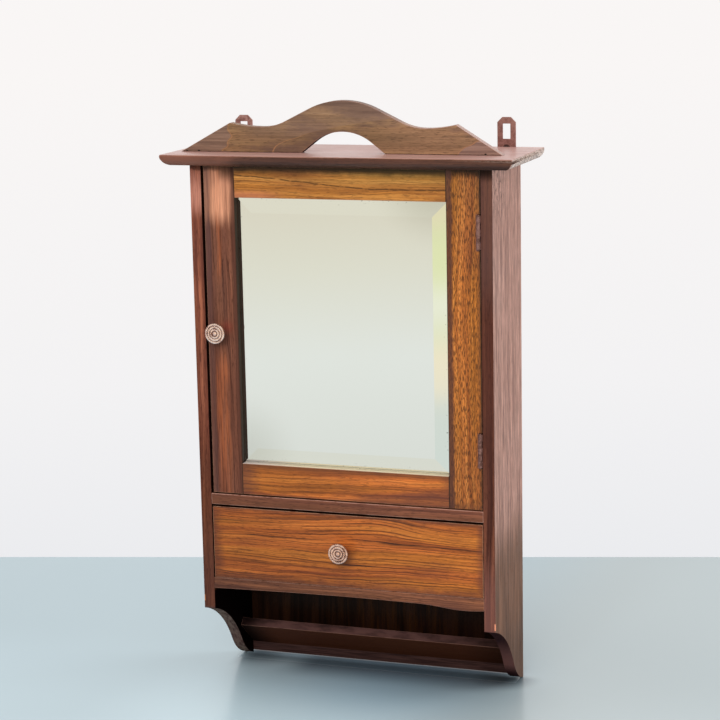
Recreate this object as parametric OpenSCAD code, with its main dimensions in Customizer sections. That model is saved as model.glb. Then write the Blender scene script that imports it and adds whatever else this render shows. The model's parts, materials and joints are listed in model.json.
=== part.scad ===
// Wall-hung medicine cabinet in wood. A framed bevelled mirror is the door of the cupboard,
// a drawer runs below it, and the open niche at the bottom ends in a slanted comb tray.
// A moulded top board carries a shaped pediment, and two slotted plates hang the cabinet.
// Lengths are in millimetres. +Z is up, the wall is the plane y = 0 and the front faces -Y.
// The origin lies on the wall, on the centre line, at the height of the mirror's centre.

/* [Case] */
// Width across the side boards
case_w = 380; // [330:1:440]
// Depth of the side boards, from the wall to their front edges
case_d = 130; // [120:1:170]
// Thickness of the side boards
side_t = 14; // [12:0.5:18]
// Thickness of the back panel
back_t = 6; // [4:0.5:8]
// Width of the rebate in each side board that takes the back panel
back_rebate = 10; // [5:0.5:10]
// Height of the back panel's lower edge above the feet
back_up = 5; // [2:1:12]
// Thickness of the board between the door and the drawer
divider_t = 14; // [12:0.5:18]
// Thickness of the floor board under the drawer
floor_t = 9; // [7:0.5:12]
// Thickness of the apron, front to back
apron_t = 14; // [10:0.5:20]
// Depth of the housings in the side boards that hold the boards' ends
housing = 4; // [2:0.5:6]
// Distance from the front edge at which the housings stop
housing_stop = 12; // [8:1:20]

/* [Heights] */
// Height of the shaped feet, from their lowest point to the front corner
foot_h = 100; // [80:1:120]
// Height from the front corner of the feet to the apron
apron_up = 27; // [20:1:40]
// Height of the apron at its left end
apron_h = 14; // [12:1:24]
// Rise of the shallow arch in the apron's lower edge
apron_arch = 2.4; // [0:0.2:5]
// Depth of the dip in the apron's lower edge near its right end
apron_dip = 3.4; // [0:0.2:5]
// Distance from the right side board to the lowest point of the dip
apron_dip_in = 29; // [20:1:60]
// Half of the dip's length
apron_dip_l = 50; // [40:1:80]
// Height of the drawer opening
drawer_open_h = 95; // [75:1:120]
// Height of the door opening
door_open_h = 410.5; // [360:0.5:460]

/* [Feet] */
// Place of the foot curve's inflection along the depth, as a share of it from the front
foot_turn_y = 0.655; // [0.6:0.005:0.7]
// Height of the foot curve's inflection, as a share of the foot height
foot_turn_z = 0.33; // [0.28:0.01:0.38]
// Steepness of the foot curve at its inflection, in degrees
foot_slope = 59; // [54:1:64]

/* [Comb tray] */
// Thickness of the slanted tray board
tray_t = 11; // [8:0.5:14]
// Distance from the back panel to the tray board's front arris
tray_reach = 41; // [30:1:50]
// Height of the tray board's lower arris above the back panel's lower edge
tray_up = 12; // [8:1:24]
// Slope of the tray board from the horizontal, in degrees
tray_slope = 40.5; // [32:0.5:46]

/* [Top board] */
// Thickness of the top board
top_t = 13.5; // [13:0.5:20]
// Overhang of the top board past each side board
top_over_side = 30; // [20:1:40]
// Overhang of the top board in front of the side boards
top_over_front = 22.5; // [15:0.5:30]
// Radius of the quarter-round moulding under the top board's front and end edges
top_round = 12; // [6:0.5:13]

/* [Pediment] */
// Thickness of the pediment
ped_t = 12; // [9:0.5:16]
// Distance of the pediment's front face behind the front edges of the side boards
ped_back = 21; // [0:1:60]
// Distance of the pediment's left tip from the left end of the top board
ped_tip_left_in = 10.5; // [8:0.5:30]
// Distance of the pediment's right tip from the right end of the top board
ped_tip_right_in = 22.5; // [8:0.5:30]
// Height of the crest above the top board
ped_crest_h = 63; // [56:1:72]
// Distance from the centre line to each peak
ped_peak_x = 142.5; // [136:0.5:150]
// Distance by which both peaks stand to the left of that place
ped_peak_off = 2; // [0:0.5:5]
// Height of the peaks above the top board
ped_peak_h = 35.5; // [33:0.5:39]
// Distance from the centre line to the lowest point of each hollow
ped_hollow_x = 103; // [98:1:108]
// Height of the hollows above the top board
ped_hollow_h = 31; // [28:0.5:32.5]
// Radius of the crest
ped_crest_r = 95; // [80:1:100]
// Radius of the hollows on the side of the crest
ped_hollow_r = 68; // [55:1:70]
// Width of the arched opening at its foot
arch_w = 107; // [90:1:120]
// Height of the arched opening
arch_h = 26; // [22:0.5:30]
// Radius of the arched opening's crown
arch_r = 58; // [50:1:70]

/* [Door] */
// Thickness of the door frame
door_t = 20; // [19:0.5:24]
// Distance of the door's and the drawer's faces behind the front edges of the side boards
front_set = 1; // [0.5:0.5:3]
// Gap between the door and the side board on the knob side
door_gap_latch = 3; // [1.5:0.5:4]
// Gap between the door and the side board on the hinge side
door_gap_hinge = 1; // [0.6:0.1:1.5]
// Gap above and below the door
door_gap_z = 1.5; // [1:0.1:3]
// Width of the stile on the knob side
stile_left_w = 39.5; // [36:0.5:48]
// Width of the stile on the hinge side
stile_right_w = 41.5; // [36:0.5:48]
// Height of the upper rail
rail_top_h = 38; // [34:0.5:48]
// Height of the lower rail
rail_bottom_h = 39; // [34:0.5:48]
// Thickness of the lip in front of the mirror
lip_t = 8; // [6:0.5:9]
// Width of the rebate behind the lip
rebate_w = 8; // [6:0.5:10]
// Length of the tenons on the rails
tenon_l = 26; // [16:1:28]
// Thickness of the tenons
tenon_t = 6; // [5:0.5:7]
// Set-in of the tenons from the rails' outer edges
tenon_in = 8; // [6:0.5:10]

/* [Mirror] */
// Thickness of the mirror plate
mirror_t = 5; // [4:0.5:6]
// Thickness left at the edge of the bevel
mirror_edge_t = 2; // [1.5:0.25:2.5]
// Width of the bevel, part of which lies behind the lip
bevel_w = 26; // [18:1:32]
// Play of the mirror plate in its rebate, on each side
mirror_play = 1; // [0.5:0.25:1.5]
// Thickness of the backing board
backing_t = 3; // [2:0.5:3.5]
// Width of the beads that hold the backing board
bead_w = 7; // [5:0.5:7.5]

/* [Drawer] */
// Gap between the drawer front and each side board
drawer_gap_side = 1; // [0.6:0.1:2]
// Gap above the drawer front
drawer_gap_top = 2.7; // [1:0.1:4]
// Thickness of the drawer front
drawer_front_t = 14; // [12:0.5:18]
// Thickness of the drawer sides
drawer_side_t = 9; // [7:0.5:11]
// Height of the drawer sides
drawer_side_h = 82; // [60:1:90]
// Thickness of the drawer back
drawer_back_t = 8; // [6:0.5:11]
// Height by which the drawer back stays below the drawer sides
drawer_back_down = 6; // [0:1:12]
// Thickness of the drawer bottom
drawer_bottom_t = 4; // [3:0.5:5]
// Height of the drawer bottom above the lower edge of the drawer sides
drawer_bottom_up = 6; // [4:0.5:10]
// Depth of the grooves that hold the drawer bottom
groove = 4.5; // [3:0.5:5]
// Depth to which the drawer sides lap into the drawer front
drawer_lap = 8; // [6:0.5:10]
// Length of the stop blocks behind the drawer
stop_l = 6; // [4:0.5:10]

/* [Shelves] */
// Thickness of the shelves
shelf_t = 9; // [7:0.5:12]
// Distance from the door's back to the shelves' front edges
shelf_back = 9; // [7:1:30]
// Width of the shelf cleats
cleat_w = 10; // [8:1:14]
// Height of the shelf cleats
cleat_h = 12; // [8:1:18]
// Width and height of the door stop under the top board
door_stop_s = 8; // [6:0.5:12]

/* [Hinges] */
// Length of each hinge
hinge_l = 40; // [30:1:50]
// Distance from each end of the door to the middle of its hinge
hinge_in = 73; // [50:1:100]
// Radius of the hinge barrel
barrel_r = 2.6; // [2.6:0.1:3.4]
// Radius of the hinge pin
pin_r = 1.4; // [1.2:0.1:1.7]
// Thickness of the hinge leaves
leaf_t = 1.2; // [1:0.1:1.4]
// Width of the hinge leaves, from the pin's axis
leaf_w = 16; // [12:0.5:16.5]
// Distance of the pin's axis in front of the side boards' front edges
pin_out = 1; // [0.5:0.1:2]

/* [Knobs] */
// Diameter of the knobs
knob_d = 25.5; // [20:0.5:32]
// Height of the knobs above the wood
knob_h = 19.5; // [18:0.5:30]
// Diameter of the knob's foot
knob_foot_d = 10; // [9:0.5:18]
// Thickness of the knob's foot
knob_foot_t = 2.5; // [1.5:0.25:4]
// Radius of the ring beads on the knob's face
ring_bead_r = 1.45; // [1:0.05:1.8]
// Distance from one ring bead to the next
ring_pitch = 3.1; // [3:0.05:4]
// Rise of each ring bead above the one outside it
ring_climb = 0.6; // [0:0.1:1]
// Radius of the boss in the middle of the knob's face
boss_r = 2.6; // [2:0.1:3.5]
// Height of the boss above the outermost ring bead's middle
boss_rise = 2.8; // [2.5:0.1:5]
// Radius of the screws that hold the knobs
knob_screw_r = 2; // [1.5:0.25:2.5]
// Distance of the door's knob from the middle of its stile, towards the side board
door_knob_out = 4.5; // [0:0.5:8]
// Distance of the drawer's knob from the centre line, to the left
drawer_knob_left = 4.5; // [0:0.5:8]
// Height of the drawer's knob above the middle of the drawer front
drawer_knob_up = 1; // [0:0.5:5]

/* [Hanging plates] */
// Distance from the left end of the back panel to the left plate
plate_left_in = 5; // [1:0.1:30]
// Distance from the right end of the back panel to the right plate
plate_right_in = 1.2; // [1:0.1:30]
// Width of the plates
plate_w = 23; // [18:0.5:28]
// Thickness of the plates
plate_t = 2; // [1.5:0.25:2.5]
// Height of the plates above the top board
plate_up = 36; // [28:1:44]
// Length of the plates below the top board's upper face
plate_down = 40; // [32:1:60]
// Chamfer at the plates' upper corners
plate_chamfer = 6.2; // [3:0.2:8]
// Width of the hanging slot
slot_w = 9.6; // [7:0.2:12]
// Height of the hanging slot
slot_h = 18.4; // [12:0.2:24]
// Distance from the slot to the upper end of the plate
slot_down = 8; // [6:0.5:10]

/* [Hidden] */

// Clearances: run is left between pieces that move past each other, ease between a screw or
// a pin and its hole, and play round a plate let into the wood.
run = 0.3;
ease = 0.05;
play = 0.2;
// Excess by which a cut passes a face
cut = 1;
// Number of straight steps in a curved outline
steps = 18;
// Number of straight steps in each arc of a turned knob
bead_steps = 8;
$fn = 64;

// Widths and depths shared by the case's pieces
inner_x = case_w / 2 - side_t;
front_y = -case_d;
back_y = -back_t;
face_y = front_y + front_set;
door_back_y = face_y + door_t;

// Heights, stacked on the feet. The mirror's centre is at zero.
z_foot = -(foot_h + apron_up + apron_h + drawer_open_h + divider_t + door_gap_z + rail_bottom_h
    + (door_open_h - 2 * door_gap_z - rail_top_h - rail_bottom_h) / 2);
z_corner = z_foot + foot_h;
z_apron = z_corner + apron_up;
z_drawer = z_apron + apron_h;
z_divider = z_drawer + drawer_open_h;
z_cupboard = z_divider + divider_t;
z_top = z_cupboard + door_open_h;
z_ped = z_top + top_t;
z_panel = z_foot + back_up;

// The top board
top_w = case_w + 2 * top_over_side;
top_d = case_d + top_over_front;

// The door frame and its mirror
door_x0 = -inner_x + door_gap_latch;
door_x1 = inner_x - door_gap_hinge;
door_z0 = z_cupboard + door_gap_z;
door_z1 = z_top - door_gap_z;
sight_x0 = door_x0 + stile_left_w;
sight_x1 = door_x1 - stile_right_w;
sight_z0 = door_z0 + rail_bottom_h;
sight_z1 = door_z1 - rail_top_h;
lip_y = face_y + lip_t;
behind_lip = rebate_w - mirror_play;
mirror_back_y = lip_y + ease + mirror_edge_t
    + (mirror_t - mirror_edge_t) * behind_lip / bevel_w;
backing_back_y = mirror_back_y + backing_t;

// The hinges
pin_x = inner_x - run - barrel_r;
pin_y = front_y - pin_out;
hinge_z = [door_z0 + hinge_in, door_z1 - hinge_in];
knuckles = 5;
knuckle_l = hinge_l / knuckles;
pin_head_r = 2.3;
pin_head_t = 1.2;
pin_head_taper = 0.8;

// Countersunk wood screws: shank radius, head radius and head depth
screw_r = 1.25;
screw_head_r = 2.6;
screw_head_t = 1.1;
hinge_screw_l = 11;
hinge_screw_in = 0.62 * leaf_w;
plate_screw_l = 5.5;

// The knobs: the turn of the waist's curve at its ends, in degrees, and the threaded hole's depth
waist_turn = 35;
knob_hole = knob_h / 2;

// The drawer
drawer_x = inner_x - drawer_gap_side;
drawer_z0 = z_drawer + run;
drawer_z1 = z_divider - drawer_gap_top;
drawer_back_y = face_y + drawer_front_t;
drawer_end_y = back_y - stop_l - run;
drawer_inner_x = drawer_x - drawer_side_t;
drawer_knob_x = -drawer_knob_left;
drawer_knob_z = (drawer_z0 + drawer_z1) / 2 + drawer_knob_up;

// The cupboard's inside
shelf_front_y = door_back_y + shelf_back;
shelf_gap = (door_open_h - 2 * shelf_t) / 3;
shelf_z = [z_cupboard + shelf_gap, z_cupboard + 2 * shelf_gap + shelf_t];

// The catch: a spring clip on the case grips a ball stud on the door
catch_x0 = -inner_x;
catch_w = 13;
catch_plate_t = 1;
catch_spring_t = 0.8;
catch_ball_r = 3.5;
catch_stud_r = 2;
catch_reach = 9;
catch_mouth = 1.5;
catch_flare = 1;
catch_web = 3;
catch_flange_l = 13;
catch_x = catch_x0 + catch_plate_t + catch_w / 2;
catch_ball_y = door_back_y + catch_reach;

// The hanging plates
plate_far_x = inner_x + back_rebate - play - plate_w / 2;
plate_left_x = plate_left_in - plate_far_x;
plate_right_x = plate_far_x - plate_right_in;
plate_screw_up = 8;

// Colours
case_wood = "#5a2a1c";
frame_wood = "#8a4a20";
plain_wood = "#b58a5a";
steel = "#8d8890";
knob_metal = "#c79a86";
plate_metal = "#6e3f33";
glass = "#dfe8e4";

// A board between two opposite corners
module block(low, high) {
    translate(low) cube(high - low);
}

// An outline drawn in the plane across the cabinet, (y, z), run along X from x0 to x1
module run_x(x0, x1) {
    translate([x0, 0, 0]) rotate([90, 0, 90]) linear_extrude(x1 - x0) children();
}

// An outline drawn in the front plane, (x, z), run along Y from y0 to y1
module run_y(y0, y1) {
    translate([0, y1, 0]) rotate([90, 0, 0]) linear_extrude(y1 - y0) children();
}

// Points of the arc from p towards q that leaves p turned by the angle a from the chord,
// and reaches q turned by as much the other way, in n steps
function arc_points(p, q, a, n = steps) =
    let (c = norm(q - p), r = c / (2 * sin(a)), d = atan2(q[1] - p[1], q[0] - p[0]))
    [for (i = [0 : n - 1])
        let (b = a * i / n)
        p + 2 * r * sin(b) * [cos(d + a - b), sin(d + a - b)]];

// The points mirrored in the centre line, in the other order and without those on the line
function mirrored(points) =
    [for (i = [len(points) - 1 : -1 : 0]) if (points[i][0] != 0) [-points[i][0], points[i][1]]];

// A hole or shank along Y, from y0 to y1
module rod_y(y0, y1, x, z, r) {
    translate([x, y0, z]) rotate([-90, 0, 0]) cylinder(h = y1 - y0, r = r);
}

// A countersunk screw that points along +Z from the face of its plate at z = 0.
// Extra widens it into the hole that it needs.
module screw(length, extra = 0) {
    cylinder(h = screw_head_t, r1 = screw_head_r + extra, r2 = screw_r + extra);
    cylinder(h = length + extra, r = screw_r + extra);
}

// The case

// A side board with its S-curved foot, at the left of the cabinet
module side_board() {
    corner = [front_y, z_corner];
    turn = [front_y + foot_turn_y * case_d, z_foot + foot_turn_z * foot_h];
    heel = [0, z_foot];
    upper_dir = atan2(turn[1] - corner[1], turn[0] - corner[0]);
    lower_dir = atan2(heel[1] - turn[1], heel[0] - turn[0]);
    outline = concat(
        [[0, z_top], [front_y, z_top]],
        arc_points(corner, turn, upper_dir + foot_slope),
        arc_points(turn, heel, -lower_dir - foot_slope),
        [heel]
    );
    difference() {
        run_x(-case_w / 2, -inner_x) polygon(outline);
        // Rebate for the back panel
        block([-inner_x - back_rebate, back_y, z_foot - cut], [-inner_x + cut, cut, z_top + cut]);
        // Stopped housings for the divider and the floor board
        block([-inner_x - housing, front_y + housing_stop, z_divider],
            [-inner_x + cut, back_y + cut, z_cupboard]);
        block([-inner_x - housing, front_y + apron_t, z_drawer - floor_t],
            [-inner_x + cut, back_y + cut, z_drawer]);
    }
}

module side_left() {
    color(case_wood) side_board();
}

module side_right() {
    color(case_wood) difference() {
        mirror([1, 0, 0]) side_board();
        at_case_screws() screw(hinge_screw_l, ease);
    }
}

// Section of a board of length l whose lower left edge is a quarter-round
module moulded_section(l) {
    translate([top_round, 0]) square([l - top_round, top_t]);
    intersection() {
        translate([top_round, top_round]) circle(r = top_round);
        square(top_round);
    }
    translate([0, top_round]) square([l, top_t - top_round]);
}

// Top board, moulded along its front and both ends
module top_board() {
    color(case_wood) difference() {
        intersection() {
            run_x(-top_w / 2, top_w / 2) translate([-top_d, z_top]) moulded_section(top_d);
            run_y(-top_d, 0) translate([-top_w / 2, z_top]) moulded_section(top_w);
            run_y(-top_d, 0) translate([top_w / 2, z_top]) mirror([1, 0]) moulded_section(top_w);
        }
        plate_recesses();
        at_plate_screws() screw(plate_screw_l, ease);
    }
}

// One side of the pediment past its hollow: the curve up to the peak, and the straight shoulder
function shoulder(low, peak_x, tip_x) =
    let (peak = [peak_x, ped_peak_h], rise_dir = atan2(peak[1] - low[1], peak[0] - low[0]))
    concat(arc_points(low, peak, -rise_dir), [peak, [tip_x, 0]]);

// Pediment: straight shoulders, peaks, hollows and a round crest over an arched opening
module pediment() {
    // The crest and the hollow are joined by a straight stretch that is tangent to both
    drop = ped_crest_h - ped_hollow_h;
    radii = ped_crest_r + ped_hollow_r;
    straight = sqrt(ped_hollow_x * ped_hollow_x + drop * drop - 2 * drop * radii);
    slope = atan2(ped_hollow_x, radii - drop) - atan2(straight, radii);
    crest = [for (i = [0 : steps])
        let (a = slope * i / steps)
        [ped_crest_r * sin(a), ped_crest_h - ped_crest_r * (1 - cos(a))]];
    hollow = [for (i = [0 : steps - 1])
        let (a = slope * (1 - i / steps))
        [ped_hollow_x - ped_hollow_r * sin(a), ped_hollow_h + ped_hollow_r * (1 - cos(a))]];
    low = [ped_hollow_x, ped_hollow_h];
    right = concat(crest, hollow,
        shoulder(low, ped_peak_x - ped_peak_off, top_w / 2 - ped_tip_right_in));
    left = concat(crest, hollow,
        shoulder(low, ped_peak_x + ped_peak_off, top_w / 2 - ped_tip_left_in));
    // The arched opening: a round crown on straight, spreading legs
    leg = arch_leg_angle();
    crown = [for (i = [0 : steps])
        let (a = leg * i / steps)
        [arch_r * sin(a), arch_h - arch_r * (1 - cos(a))]];
    foot = [arch_w / 2, 0];
    opening = concat(crown, [foot, foot - [0, cut]]);
    color(case_wood)
    translate([0, 0, z_ped])
    run_y(front_y + ped_back, front_y + ped_back + ped_t)
    difference() {
        polygon(concat(right, mirrored(left)));
        polygon(concat(opening, mirrored(opening)));
    }
}

// Slope of the arched opening's legs, so that they are tangent to the crown
function arch_leg_angle() =
    let (w = arch_w / 2, e = arch_r - arch_h)
    90 - atan2(e, w) - acos(arch_r / norm([w, e])) ;

// Board between the cupboard and the drawer, let into the sides behind its front edge
module divider() {
    color(case_wood) {
        block([-inner_x, front_y, z_divider], [inner_x, back_y, z_cupboard]);
        block([-inner_x - housing, front_y + housing_stop, z_divider],
            [inner_x + housing, back_y, z_cupboard]);
    }
}

// Board under the drawer, on which it slides
module floor_board() {
    color(case_wood) block([-inner_x - housing, front_y + apron_t, z_drawer - floor_t],
        [inner_x + housing, back_y, z_drawer]);
}

// Height of the apron's lower edge at the place x: a shallow arch with a dip at the right
function apron_edge(x) =
    let (t = (x - inner_x + apron_dip_in) / apron_dip_l)
    z_apron + apron_arch * cos(90 * x / inner_x)
        - (abs(t) < 1 ? apron_dip * (1 + cos(180 * t)) / 2 : 0);

// Apron under the drawer
module apron() {
    edge = [for (i = [0 : 2 * steps])
        let (x = inner_x * (i / steps - 1))
        [x, apron_edge(x)]];
    color(case_wood) run_y(front_y, front_y + apron_t)
        polygon(concat(edge, [[inner_x, z_drawer], [-inner_x, z_drawer]]));
}

// Back panel, in the rebates of the side boards
module back_panel() {
    half_w = inner_x + back_rebate - play;
    color(case_wood) difference() {
        block([-half_w, back_y, z_panel], [half_w, 0, z_top]);
        plate_recesses();
        at_plate_screws() screw(plate_screw_l, ease);
    }
}

// Slanted board of the comb tray. Its lower edge is cut to lie flat against the back panel.
module tray_board() {
    low = [back_y, z_panel + tray_up];
    arris = low + tray_reach * [-1, tan(tray_slope)];
    edge = arris + tray_t * [sin(tray_slope), cos(tray_slope)];
    high = [back_y, edge[1] - (back_y - edge[0]) * tan(tray_slope)];
    color(case_wood) run_x(-inner_x, inner_x) polygon([low, arris, edge, high]);
}

// A loose shelf whose underside lies at the height z
module shelf(z) {
    color(plain_wood)
        block([-inner_x + run, shelf_front_y, z], [inner_x - run, back_y - run, z + shelf_t]);
}

module shelf_upper() {
    shelf(shelf_z[1]);
}

module shelf_lower() {
    shelf(shelf_z[0]);
}

// The four cleats that carry the shelves, with their front ends cut to a slope
module shelf_cleats() {
    front = shelf_front_y + cleat_h / 2;
    color(plain_wood)
    for (z = shelf_z, side = [0, 1])
        mirror([side, 0, 0])
        run_x(-inner_x, -inner_x + cleat_w)
        polygon([[front, z], [back_y, z], [back_y, z - cleat_h],
            [front + cleat_h / 2, z - cleat_h]]);
}

// Strip under the top board that the door's upper rail meets
module door_stop() {
    y = door_back_y + run;
    color(plain_wood)
        block([-inner_x, y, z_top - door_stop_s], [inner_x, y + door_stop_s, z_top]);
}

// The two blocks on the floor board that the drawer's sides meet
module drawer_stops() {
    color(plain_wood)
    for (side = [0, 1])
        mirror([side, 0, 0])
        block([-drawer_x, back_y - stop_l, z_drawer],
            [-drawer_inner_x, back_y, z_drawer + 2 * stop_l]);
}

// Spring clip of the catch: a flange on the side board and two jaws that open to the front
module catch_clip() {
    jaw = catch_ball_r + run;
    mouth_y = catch_ball_y - catch_ball_r - catch_mouth;
    waist_y = catch_ball_y - catch_ball_r / 2;
    web_y = catch_ball_y + catch_ball_r + catch_web;
    flange_y = web_y + catch_flange_l;
    belly = jaw + catch_flare;
    lips = jaw + 2 * catch_flare;
    t = catch_spring_t;
    inside = [[mouth_y, lips], [waist_y, jaw], [web_y, belly]];
    outside = [[web_y + t, belly + t], [waist_y, jaw + t], [mouth_y - t, lips + t]];
    color(steel) {
        for (side = [0, 1])
            mirror([0, 0, side])
            run_x(catch_x0, catch_x0 + catch_plate_t + catch_w)
            polygon(concat(inside, outside));
        block([catch_x0, web_y, -belly - t],
            [catch_x0 + catch_plate_t + catch_w, web_y + t, belly + t]);
        block([catch_x0, web_y, -belly - t], [catch_x0 + catch_plate_t, flange_y, belly + t]);
    }
}

// The hanging plates

// Outline of a plate about its own centre line
module plate_outline(grow = 0) {
    half = plate_w / 2 + grow;
    upper = z_ped + plate_up;
    lower = z_ped - plate_down - grow;
    polygon([[-half, lower], [half, lower], [half, upper - plate_chamfer],
        [half - plate_chamfer, upper], [plate_chamfer - half, upper], [-half, upper - plate_chamfer]]);
}

// The places of the two plates
module at_plates() {
    for (x = [plate_left_x, plate_right_x]) translate([x, 0, 0]) children();
}

// The screws of one plate: one in the top board's edge and one in the back panel
module at_one_plate_screws() {
    for (z = [z_ped - top_t / 2, z_ped - plate_down + plate_screw_up])
        translate([0, 0, z]) rotate([90, 0, 0]) children();
}

module at_plate_screws() {
    at_plates() at_one_plate_screws() children();
}

// Shallow recesses that let the plates in flush with the wall face
module plate_recesses() {
    at_plates() run_y(-plate_t, cut) plate_outline(play);
}

module hanging_plate() {
    slot_z = z_ped + plate_up - slot_down - slot_h;
    difference() {
        run_y(-plate_t, 0) difference() {
            plate_outline();
            translate([-slot_w / 2, slot_z]) square([slot_w, slot_h]);
        }
        at_one_plate_screws() screw(plate_screw_l, ease);
    }
}

module hanging_plate_left() {
    color(plate_metal) translate([plate_left_x, 0, 0]) hanging_plate();
}

module hanging_plate_right() {
    color(plate_metal) translate([plate_right_x, 0, 0]) hanging_plate();
}

module hanging_screws() {
    color(steel) at_plate_screws() screw(plate_screw_l);
}

// The hinges

// The parts of one hinge's barrel that belong to the case (even knuckles) or to the door (odd)
module at_knuckles(odd) {
    for (i = [odd : 2 : knuckles - 1])
        translate([pin_x, pin_y, -hinge_l / 2 + i * knuckle_l]) children();
}

// One hinge leaf. Its plate lies between the X places x0 and x1, behind the pin's axis.
module hinge_leaf(x0, x1, odd) {
    gap = run / 2;
    difference() {
        union() {
            block([x0, pin_y, -hinge_l / 2], [x1, pin_y + leaf_w, hinge_l / 2]);
            at_knuckles(odd) translate([0, 0, gap]) cylinder(h = knuckle_l - 2 * gap, r = barrel_r);
        }
        // Room for the other leaf's knuckles
        at_knuckles(1 - odd)
            translate([0, 0, -gap]) cylinder(h = knuckle_l + 2 * gap, r = barrel_r + run);
        // Bore for the pin
        translate([pin_x, pin_y, -hinge_l / 2 - cut])
            cylinder(h = hinge_l + 2 * cut, r = pin_r + ease);
    }
}

// The screws of a hinge leaf, two to each, head at the place x and pointing along X
module at_leaf_screws(x, side) {
    for (hz = hinge_z, z = [-hinge_l / 4, hinge_l / 4])
        translate([x, pin_y + hinge_screw_in, hz + z]) rotate([0, side * 90, 0]) children();
}

module at_case_screws() {
    at_leaf_screws(inner_x - leaf_t, 1) children();
}

module at_door_screws() {
    at_leaf_screws(pin_x - barrel_r + leaf_t, -1) children();
}

// The two leaves on the right side board
module hinge_leaves_case() {
    color(steel) difference() {
        for (z = hinge_z) translate([0, 0, z]) hinge_leaf(inner_x - leaf_t, inner_x, 0);
        at_case_screws() screw(hinge_screw_l, ease);
    }
}

// The two leaves in the hinge stile
module hinge_leaves_door() {
    color(steel) difference() {
        for (z = hinge_z)
            translate([0, 0, z]) hinge_leaf(pin_x - barrel_r, pin_x - barrel_r + leaf_t, 1);
        at_door_screws() screw(hinge_screw_l, ease);
    }
}

// The two hinge pins, with a flat head at each end
module hinge_pins() {
    color(steel)
    for (z = hinge_z)
        translate([pin_x, pin_y, z]) {
            cylinder(h = hinge_l, r = pin_r, center = true);
            for (side = [0, 1])
                mirror([0, 0, side]) translate([0, 0, hinge_l / 2])
                cylinder(h = pin_head_t, r1 = pin_head_r, r2 = pin_head_r - pin_head_taper);
        }
}

module hinge_screws_case() {
    color(steel) at_case_screws() screw(hinge_screw_l);
}

module hinge_screws_door() {
    color(steel) at_door_screws() screw(hinge_screw_l);
}

// The door

// Cut for the mirror, its backing and its beads, behind the lip of the whole frame
module mirror_rebate() {
    block([sight_x0 - rebate_w, lip_y, sight_z0 - rebate_w],
        [sight_x1 + rebate_w, door_back_y + cut, sight_z1 + rebate_w]);
}

// The tenons of a rail that lies between the heights z0 and z1, or their mortises
module tenons(z0, z1) {
    block([sight_x0 - tenon_l, lip_y, z0], [sight_x1 + tenon_l, lip_y + tenon_t, z1]);
}

module top_tenons() {
    tenons(sight_z1 + rebate_w, door_z1 - tenon_in);
}

module bottom_tenons() {
    tenons(door_z0 + tenon_in, sight_z0 - rebate_w);
}

// Stile on the knob side
module stile_left() {
    color(frame_wood) difference() {
        block([door_x0, face_y, door_z0], [sight_x0, door_back_y, door_z1]);
        mirror_rebate();
        top_tenons();
        bottom_tenons();
        rod_y(face_y - cut, door_back_y + cut, door_knob_x(), 0, knob_screw_r + ease);
    }
}

// Stile on the hinge side, with a seat for each hinge let into its edge
module stile_right() {
    seat_x = pin_x - barrel_r;
    color(frame_wood) difference() {
        block([sight_x1, face_y, door_z0], [door_x1, door_back_y, door_z1]);
        mirror_rebate();
        top_tenons();
        bottom_tenons();
        for (z = hinge_z) {
            block([seat_x, face_y - cut, z - hinge_l / 2 - run],
                [door_x1 + cut, pin_y + leaf_w + 2 * run, z + hinge_l / 2 + run]);
            translate([pin_x, pin_y, z - hinge_l / 2 - pin_head_t - run])
                cylinder(h = hinge_l + 2 * (pin_head_t + run), r = barrel_r + run);
        }
        at_door_screws() screw(hinge_screw_l, ease);
    }
}

module rail_top() {
    color(frame_wood) {
        difference() {
            block([sight_x0, face_y, sight_z1], [sight_x1, door_back_y, door_z1]);
            mirror_rebate();
        }
        top_tenons();
    }
}

module rail_bottom() {
    color(frame_wood) {
        difference() {
            block([sight_x0, face_y, door_z0], [sight_x1, door_back_y, sight_z0]);
            mirror_rebate();
        }
        bottom_tenons();
    }
}

// Level section of the mirror plate across a width w: flat in the middle, bevelled at the ends
module level_section(w) {
    polygon([[0, 0], [w, 0], [w, -mirror_edge_t], [w - bevel_w, -mirror_t],
        [bevel_w, -mirror_t], [0, -mirror_edge_t]]);
}

// Upright section of the mirror plate over a height h
module upright_section(h) {
    polygon([[0, 0], [0, h], [-mirror_edge_t, h], [-mirror_t, h - bevel_w],
        [-mirror_t, bevel_w], [-mirror_edge_t, 0]]);
}

// Mirror plate with a bevel on all four sides, mitred at the corners
module mirror_plate() {
    x0 = sight_x0 - behind_lip;
    x1 = sight_x1 + behind_lip;
    z0 = sight_z0 - behind_lip;
    z1 = sight_z1 + behind_lip;
    color(glass) intersection() {
        translate([x0, mirror_back_y, z0]) linear_extrude(z1 - z0) level_section(x1 - x0);
        run_x(x0, x1) translate([mirror_back_y, z0]) upright_section(z1 - z0);
    }
}

// Backing board behind the mirror
module mirror_backing() {
    color(plain_wood) block([sight_x0 - behind_lip, mirror_back_y, sight_z0 - behind_lip],
        [sight_x1 + behind_lip, backing_back_y, sight_z1 + behind_lip]);
}

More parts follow.
